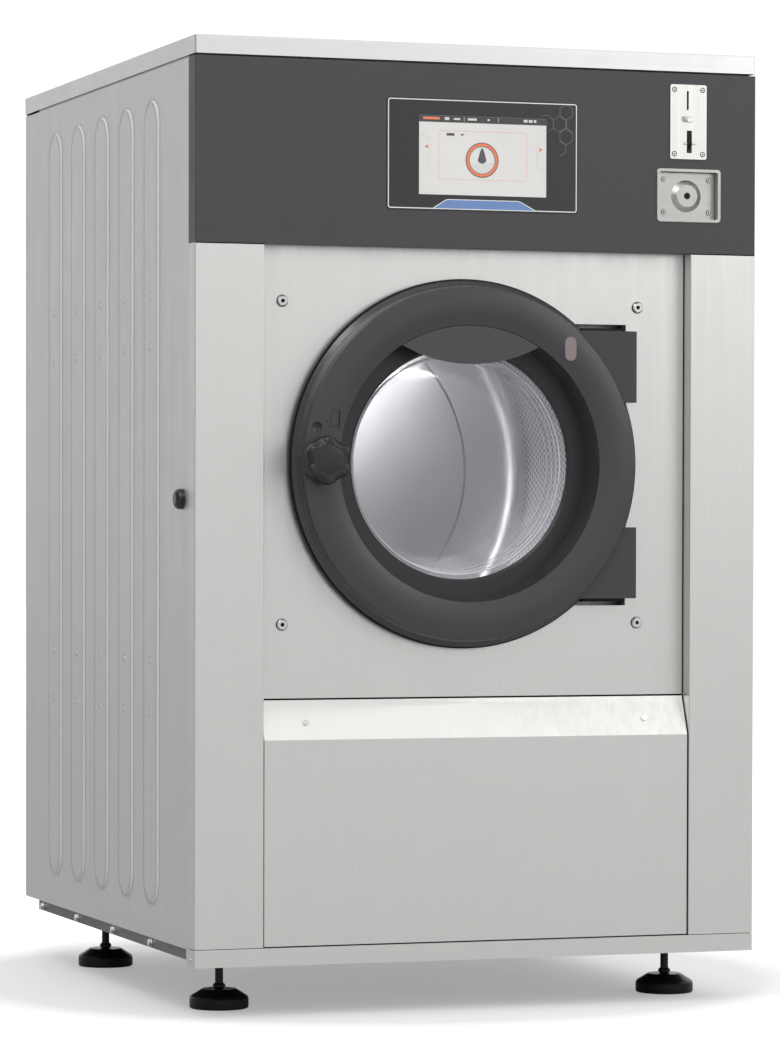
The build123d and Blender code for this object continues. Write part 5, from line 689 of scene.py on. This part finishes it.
# The water in the symbol, with waves on top, the outlines of the tabs at the screen's sides and a small ring.
WATER_RADIUS, WATER_HALF, WATER_TOP, WAVE_HEIGHT, WAVE_STEPS = 19.8, 19.4, 1249.5, 1.6, 8
water = []
for degrees in range(188, 353, 6):
    angle = math.radians(degrees)
    water.append((SYMBOL_X + WATER_RADIUS * math.cos(angle), SYMBOL_Z + WATER_RADIUS * math.sin(angle)))
for i in range(1, WAVE_STEPS):
    water.append((SYMBOL_X + WATER_HALF * (1 - 2 * i / WAVE_STEPS),
                  WATER_TOP + WAVE_HEIGHT * math.sin(i * math.pi / 2)))
TABS_MIDDLE, SCREEN_LINE_WIDTH = 1263.2, 0.0006
tab_left, tab_right = screen_left + 0.6, screen_right - 0.6
left_tabs = [(tab_left, 1239.0), (-84.5, 1243.0), (-81.0, 1247.0), (-81.0, 1282.0), (-84.5, 1286.0),
             (tab_left, 1290.0)]
right_tabs = [(tab_right, 1290.0), (90.5, 1286.0), (87.0, 1282.0), (87.0, 1247.0), (90.5, 1243.0),
              (tab_right, 1239.0)]
left_middle = [(tab_left, TABS_MIDDLE), (-81.0, TABS_MIDDLE)]
right_middle = [(87.0, TABS_MIDDLE), (tab_right, TABS_MIDDLE)]
bm = bmesh.new()
print_shape(bm, SCREEN_FRONT, 3, water)
for line in (left_tabs, right_tabs, left_middle, right_middle):
    print_line(bm, SCREEN_FRONT, 2, SCREEN_LINE_WIDTH, line)
print_band(bm, SCREEN_FRONT, 2, circle(-87.0, 1252.5, 3.6, 24), circle(-87.0, 1252.5, 2.9, 24))
piece(bm, "screen_grey_marks", screen_grey, "cabinet")

# Black strips of painted shade in the gaps round the lower service panel, which leans back above its bevel's
# foot.
GAP_SHADE_PROUD, GAP_SHADE_DEEP, GAP_SHADE_OUTSIDE, GAP_SHADE_INSIDE = 0.00025, 0.006, 0.0007, 0.0009
panel_low, panel_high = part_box("lower_service_panel")
front, foot, head = panel_low.y, panel_low.z, panel_high.z
bevel_foot = head - 0.058
upright_gap_shade = [(front - GAP_SHADE_PROUD, foot), (front + GAP_SHADE_DEEP, foot), (front + GAP_SHADE_DEEP, bevel_foot),
                (PANEL_FRONT + GAP_SHADE_DEEP, head), (PANEL_FRONT - GAP_SHADE_PROUD, head),
                (front - GAP_SHADE_PROUD, bevel_foot)]
foot_gap_shade = [(front - GAP_SHADE_PROUD, foot - 0.0008), (front + GAP_SHADE_DEEP, foot - 0.0008),
             (front + GAP_SHADE_DEEP, foot + 0.0008), (front - GAP_SHADE_PROUD, foot + 0.0009)]
head_gap_shade = rectangle(PANEL_FRONT - GAP_SHADE_PROUD, PANEL_FRONT + 0.005, head - 0.0006, head + 0.002)
bm = bmesh.new()
side_slab(bm, upright_gap_shade, panel_low.x - GAP_SHADE_OUTSIDE, panel_low.x + GAP_SHADE_INSIDE)
side_slab(bm, upright_gap_shade, panel_high.x - GAP_SHADE_INSIDE, panel_high.x + GAP_SHADE_OUTSIDE)
side_slab(bm, foot_gap_shade, panel_low.x - GAP_SHADE_OUTSIDE, panel_high.x + GAP_SHADE_OUTSIDE)
side_slab(bm, head_gap_shade, panel_low.x + 0.0002, panel_high.x - 0.0002)
piece(bm, "service_panel_gap_shades", painted_shade_black, "cabinet")

# Black strips of painted shade under the fascia on both sides of the front panel, where the fascia overhangs
# it, and up the panel's two edges.
EDGE_GAP_SHADE, FASCIA_GAP = 0.0012, 0.0014
fascia_low, fascia_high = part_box("control_fascia")
front_low, front_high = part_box("front_panel")
fascia_gap_shade = rectangle(FRONT_Y - 0.0002, FRONT_Y + 0.004, fascia_low.z - FASCIA_GAP, fascia_low.z)
panel_gap_shade = rectangle(PANEL_FRONT - 0.0003, PANEL_FRONT + 0.004, head + 0.003, fascia_low.z - 0.001)
bm = bmesh.new()
side_slab(bm, fascia_gap_shade, fascia_low.x + 0.0008, front_low.x - 0.0007)
side_slab(bm, fascia_gap_shade, front_high.x + 0.0007, fascia_high.x - 0.0008)
for left in (front_low.x, front_high.x - EDGE_GAP_SHADE):
    side_slab(bm, panel_gap_shade, left, left + EDGE_GAP_SHADE)
piece(bm, "front_seam_shades", painted_shade_black, "cabinet")

# White glossy rings inside the glass bowl, as painted highlights for the bright lines seen in the photograph
# at its right. The bowl narrows with its depth behind the cabinet's front.
BOWL_RADIUS, BOWL_START, BOWL_NARROWING = 0.1652, 0.038, 0.169
bm = bmesh.new()
for depth, width in ((0.046, 0.0011), (0.056, 0.0008), (0.068, 0.0008), (0.084, 0.0007)):
    radius = BOWL_RADIUS - (depth - BOWL_START) * BOWL_NARROWING - width * 0.3
    turned_ring(bm, circle(radius, FRONT_Y + depth, width, 8))
piece(bm, "glass_highlight_rings", glass_highlight, "door", smooth=True)

# Soft domed face of the door knob, over the lobed core that the CAD has. The dome's rings are given from its
# top to its back, as a share of the knob's radius and a distance in front of the cabinet's front.
KNOB_RADIUS, KNOB_STEPS, LOBES, VALLEY_DEPTH = 0.0357, 96, 6, 0.0036
DOME_TOP = 0.0559
DOME = ((0.35, 0.0557), (0.6, 0.055), (0.78, 0.0535), (0.9, 0.0509), (0.97, 0.0472), (1.0, 0.0422),
        (1.0, 0.0382), (0.97, 0.0345), (0.9, 0.0335))
NECK_RADIUS, NECK_FRONT = 0.0145, 0.0336
knob = centre_of("door_knob")
bm = bmesh.new()
loops = []
for share, proud in DOME:
    loop = []
    for i in range(KNOB_STEPS):
        angle = 2 * math.pi * i / KNOB_STEPS
        valley = (0.5 - 0.5 * math.cos(LOBES * (angle - math.pi / 2))) ** 1.4
        radius = share * (KNOB_RADIUS - VALLEY_DEPTH * valley * min(1.0, share * 1.15))
        place = (knob.x + radius * math.cos(angle), FRONT_Y - proud, knob.z + radius * math.sin(angle))
        loop.append(bm.verts.new(place))
    loops.append(loop)
top_point = bm.verts.new((knob.x, FRONT_Y - DOME_TOP, knob.z))
neck = circle(knob.x, knob.z, NECK_RADIUS, KNOB_STEPS)
loops.append([bm.verts.new((x, FRONT_Y - NECK_FRONT, z)) for x, z in neck])
for i in range(KNOB_STEPS):
    j = (i + 1) % KNOB_STEPS
    bm.faces.new((top_point, loops[0][i], loops[0][j]))
    for near, far in zip(loops[:-1], loops[1:]):
        bm.faces.new((near[i], far[i], far[j], near[j]))
piece(bm, "knob_face", knob_paint, "door_knob", smooth=True)


def screw_shades(name, body, face, centre, reach, socket, ring):
    """A dark disc of painted shade on each screw's socket and a painted shadow ring round its head, at each of
    four screws, reach (x, z) away from their centre. socket is (radius, front, back) and ring is (outer
    radius, inner radius, front, points), forwards from the face."""
    bm = bmesh.new()
    for side_x in (-1, 1):
        for side_z in (-1, 1):
            x, z = centre[0] + side_x * reach[0], centre[1] + side_z * reach[1]
            slab(bm, circle(x, z, socket[0], 16), face - socket[1], face - socket[2])
            outer, inner = circle(x, z, ring[0], ring[3]), circle(x, z, ring[1], ring[3])
            band(bm, outer, inner, face - ring[2], face + 0.0002)
    piece(bm, name, painted_shade_black, body)


# Screws of the coin plate and the coin box, and bolts of the front panel, each with painted shade in its
# socket and a painted shadow ring round it.
COIN_PLATE_FRONT, COIN_BOX_FRONT = FRONT_Y - 0.002, FRONT_Y + 0.010
COIN_SOCKET, COIN_RING = (0.0012, 0.0011, 0.0004), (0.004, 0.0033, 0.00012, 32)
BOLT_SOCKET, BOLT_RING = (0.0028, 0.0023, 0.0016), (0.0089, 0.0081, 0.0003, 40)
coin_plate = centre_of("coin_plate")
coin_box = centre_of("coin_box")
screw_shades("coin_plate_socket_shades", "cabinet", COIN_PLATE_FRONT, (coin_plate.x, coin_plate.z), (0.0228, 0.048),
            COIN_SOCKET, COIN_RING)
screw_shades("coin_box_socket_shades", "coin_box", COIN_BOX_FRONT, (coin_box.x, coin_box.z), (0.0365, 0.0242),
            COIN_SOCKET, COIN_RING)
screw_shades("panel_bolt_socket_shades", "cabinet", PANEL_FRONT, (DOOR_X, DOOR_Z), (0.2795, 0.236),
            BOLT_SOCKET, BOLT_RING)

# Small raised dot and plain frame on the door ring, placed from the middle of the release button beside them.
DOT_X, DOT_Z, DOT_RADIUS = 0.015, 0.0089, 0.0019
MARK_X, MARK_Z, MARK_WIDTH, MARK_HEIGHT, MARK_LINE = 0.021, 0.0013, 0.014, 0.024, 0.0008
button = centre_of("door_release_button")
mark_left, mark_low = button.x + MARK_X, button.z + MARK_Z
mark_edges = (mark_left, mark_left + MARK_WIDTH, mark_low, mark_low + MARK_HEIGHT)
bm = bmesh.new()
slab(bm, circle(button.x + DOT_X, button.z + DOT_Z, DOT_RADIUS, 24), FRONT_Y - 0.0178, FRONT_Y - 0.0165)
band(bm, rounded(mark_edges, 0.001, steps=3), rounded(mark_edges, 0.0006, MARK_LINE, steps=3),
     FRONT_Y - 0.0177, FRONT_Y - 0.0155)
piece(bm, "ring_marks", inner_black, "door")

# Coils of the four suspension springs. The real springs shorten and stretch as the tub moves on them; these
# coils are one still mesh.
WIRE_RADIUS, COIL_RADIUS, COIL_TURNS = 0.0045, 0.030, 7
SECTION_POINTS, STEPS_A_TURN = 14, 40
spring_low, spring_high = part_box("suspension_springs")
spring_half = COIL_RADIUS + WIRE_RADIUS
coil_foot = spring_low.z + WIRE_RADIUS
coil_rise = spring_high.z - WIRE_RADIUS - coil_foot
coil_steps = COIL_TURNS * STEPS_A_TURN
bm = bmesh.new()
for x in (spring_low.x + spring_half, spring_high.x - spring_half):
    for y in (spring_low.y + spring_half, spring_high.y - spring_half):
        sections = []
        for i in range(coil_steps + 1):
            wound = 2 * math.pi * i / STEPS_A_TURN
            outward = Vector((math.cos(wound), math.sin(wound), 0))
            middle = Vector((x, y, coil_foot + coil_rise * i / coil_steps)) + COIL_RADIUS * outward
            section = circle(0, 0, WIRE_RADIUS, SECTION_POINTS)
            sections.append([bm.verts.new(middle + out * outward + Vector((0, 0, up))) for out, up in section])
        for near, far in zip(sections[:-1], sections[1:]):
            for k in range(SECTION_POINTS):
                following = (k + 1) % SECTION_POINTS
                bm.faces.new((near[k], near[following], far[following], far[k]))
        bm.faces.new(sections[0])
        bm.faces.new(list(reversed(sections[-1])))
coils = new_object(bm, "spring_coils", spring_steel, smooth=True)
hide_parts("suspension_springs")
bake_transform(coils)

# White floor, just below the feet. To the camera alone it also glows, as painted light: weakly within 0.62 m
# of the middle of the machine, which lifts the shadow there and leaves a painted darker pool round the
# machine, and fully from 0.9 m out, where it reads as white paper.
FLOOR_HALF, FLOOR_Z = 30, -0.0004
GLOW_NEAR, GLOW_FAR, GLOW_NEAR_UP_TO, GLOW_FAR_FROM = 0.34, 0.95, 0.62, 0.9
floor_outline = rectangle(-FLOOR_HALF, FLOOR_HALF, -FLOOR_HALF, FLOOR_HALF)
floor_mesh = bpy.data.meshes.new("floor")
bm = bmesh.new()
bm.faces.new([bm.verts.new((x, y, FLOOR_Z)) for x, y in floor_outline])
bm.to_mesh(floor_mesh)
bm.free()
floor = bpy.data.objects.new("floor", floor_mesh)
bpy.context.scene.collection.objects.link(floor)
paper = Look("floor_paper", roughness=0.7, specular=0.2)
paper_x, paper_y = paper.split(paper.coords)[:2]
paper_reach = paper.distance(paper_x, paper_y)
painted_floor_glow = paper.spread(paper_reach, GLOW_NEAR, GLOW_FAR, GLOW_NEAR_UP_TO, GLOW_FAR_FROM)
by_camera = paper.node("ShaderNodeLightPath").outputs["Is Camera Ray"]
paper.link(paper.math("MULTIPLY", painted_floor_glow, by_camera), paper.shader.inputs["Emission Strength"])
paper.shader.inputs["Emission Color"].default_value = (1.0, 1.0, 1.0, 1.0)
paper_cloud = paper.spread(paper.even_noise(0.7), 0.0, 1.0)
floor_mesh.materials.append(paper.finish(paper.mix(paper_cloud, (0.55, 0.55, 0.55), (0.57, 0.57, 0.57))))

# White room round the machine. The camera sees it plain, but it lights the machine less from the left.
world = bpy.data.worlds.new("studio")
bpy.context.scene.world = world
world.use_nodes = True
background = world.node_tree.nodes["Background"]
room = Shading(world.node_tree)
toward_x, toward_y = room.split(room.node("ShaderNodeTexCoord").outputs["Generated"])[:2]
by_camera = room.node("ShaderNodeLightPath").outputs["Is Camera Ray"]
off_left = room.spread(toward_x, 0.0, 1.0, -1.0, 0.1, smooth=True)
off_front = room.spread(toward_y, 0.95, 1.04, -1.0, 0.3, smooth=True)
tone = room.mix(room.math("MAXIMUM", off_left, by_camera), (0.33, 0.33, 0.33), (1.0, 1.0, 1.0))
room.link(tone, background.inputs["Color"])
room.link(room.math("MAXIMUM", off_front, by_camera), background.inputs["Strength"])

# Name, place, target, size and power of each light. The camera sees none of them.
for name, place, target, size, power in (
        ("key", (-1.8, -3.2, 3.4), (0.0, -0.3, 0.9), (2.4, 1.6), 36.0),
        ("fill", (2.6, -3.4, 2.2), (0.0, -0.4, 0.7), (2.0, 2.0), 17.0),
        ("rim", (-1.65, -1.75, 3.5), (0.0, -0.4, 0.9), (0.9, 0.5), 16.0),
        ("drum_light", (0.02, -0.30, 1.0), (-0.14, 0.19, 0.93), (0.22, 0.12), 3.2)):
    lamp = bpy.data.lights.new(name, "AREA")
    lamp.shape = "RECTANGLE"
    lamp.size, lamp.size_y = size
    lamp.energy = power
    light = bpy.data.objects.new(name, lamp)
    light.location = place
    light.rotation_euler = (Vector(target) - Vector(place)).to_track_quat("-Z", "Y").to_euler()
    light.visible_camera = False
    bpy.context.scene.collection.objects.link(light)

# Camera as the photograph was taken: its place in metres, its turns in radians and its lens in mm.
CAMERA_PLACE = (-2.17951, -6.32214, 0.716)
YAW, PITCH, ROLL = 0.325813586, -0.0219830915, 0.00186898911
ahead = Vector((math.sin(YAW) * math.cos(PITCH), math.cos(YAW) * math.cos(PITCH), math.sin(PITCH)))
level = Vector((math.cos(YAW), -math.sin(YAW), 0.0))
upward = level.cross(ahead)
right = math.cos(ROLL) * level + math.sin(ROLL) * upward
top = -math.sin(ROLL) * level + math.cos(ROLL) * upward
camera_data = bpy.data.cameras.new("camera")
camera_data.sensor_width = 36.0
camera_data.lens = 143.94
camera_data.shift_x = 0.04524
camera_data.shift_y = 0.08641
camera_data.clip_end = 200.0
camera_data.dof.use_dof = False
camera = bpy.data.objects.new("camera", camera_data)
bpy.context.scene.collection.objects.link(camera)
camera.matrix_world = Matrix.Translation(CAMERA_PLACE) @ Matrix((right, top, -ahead)).transposed().to_4x4()
bpy.context.scene.camera = camera
bpy.context.scene.view_settings.view_transform = "Standard"
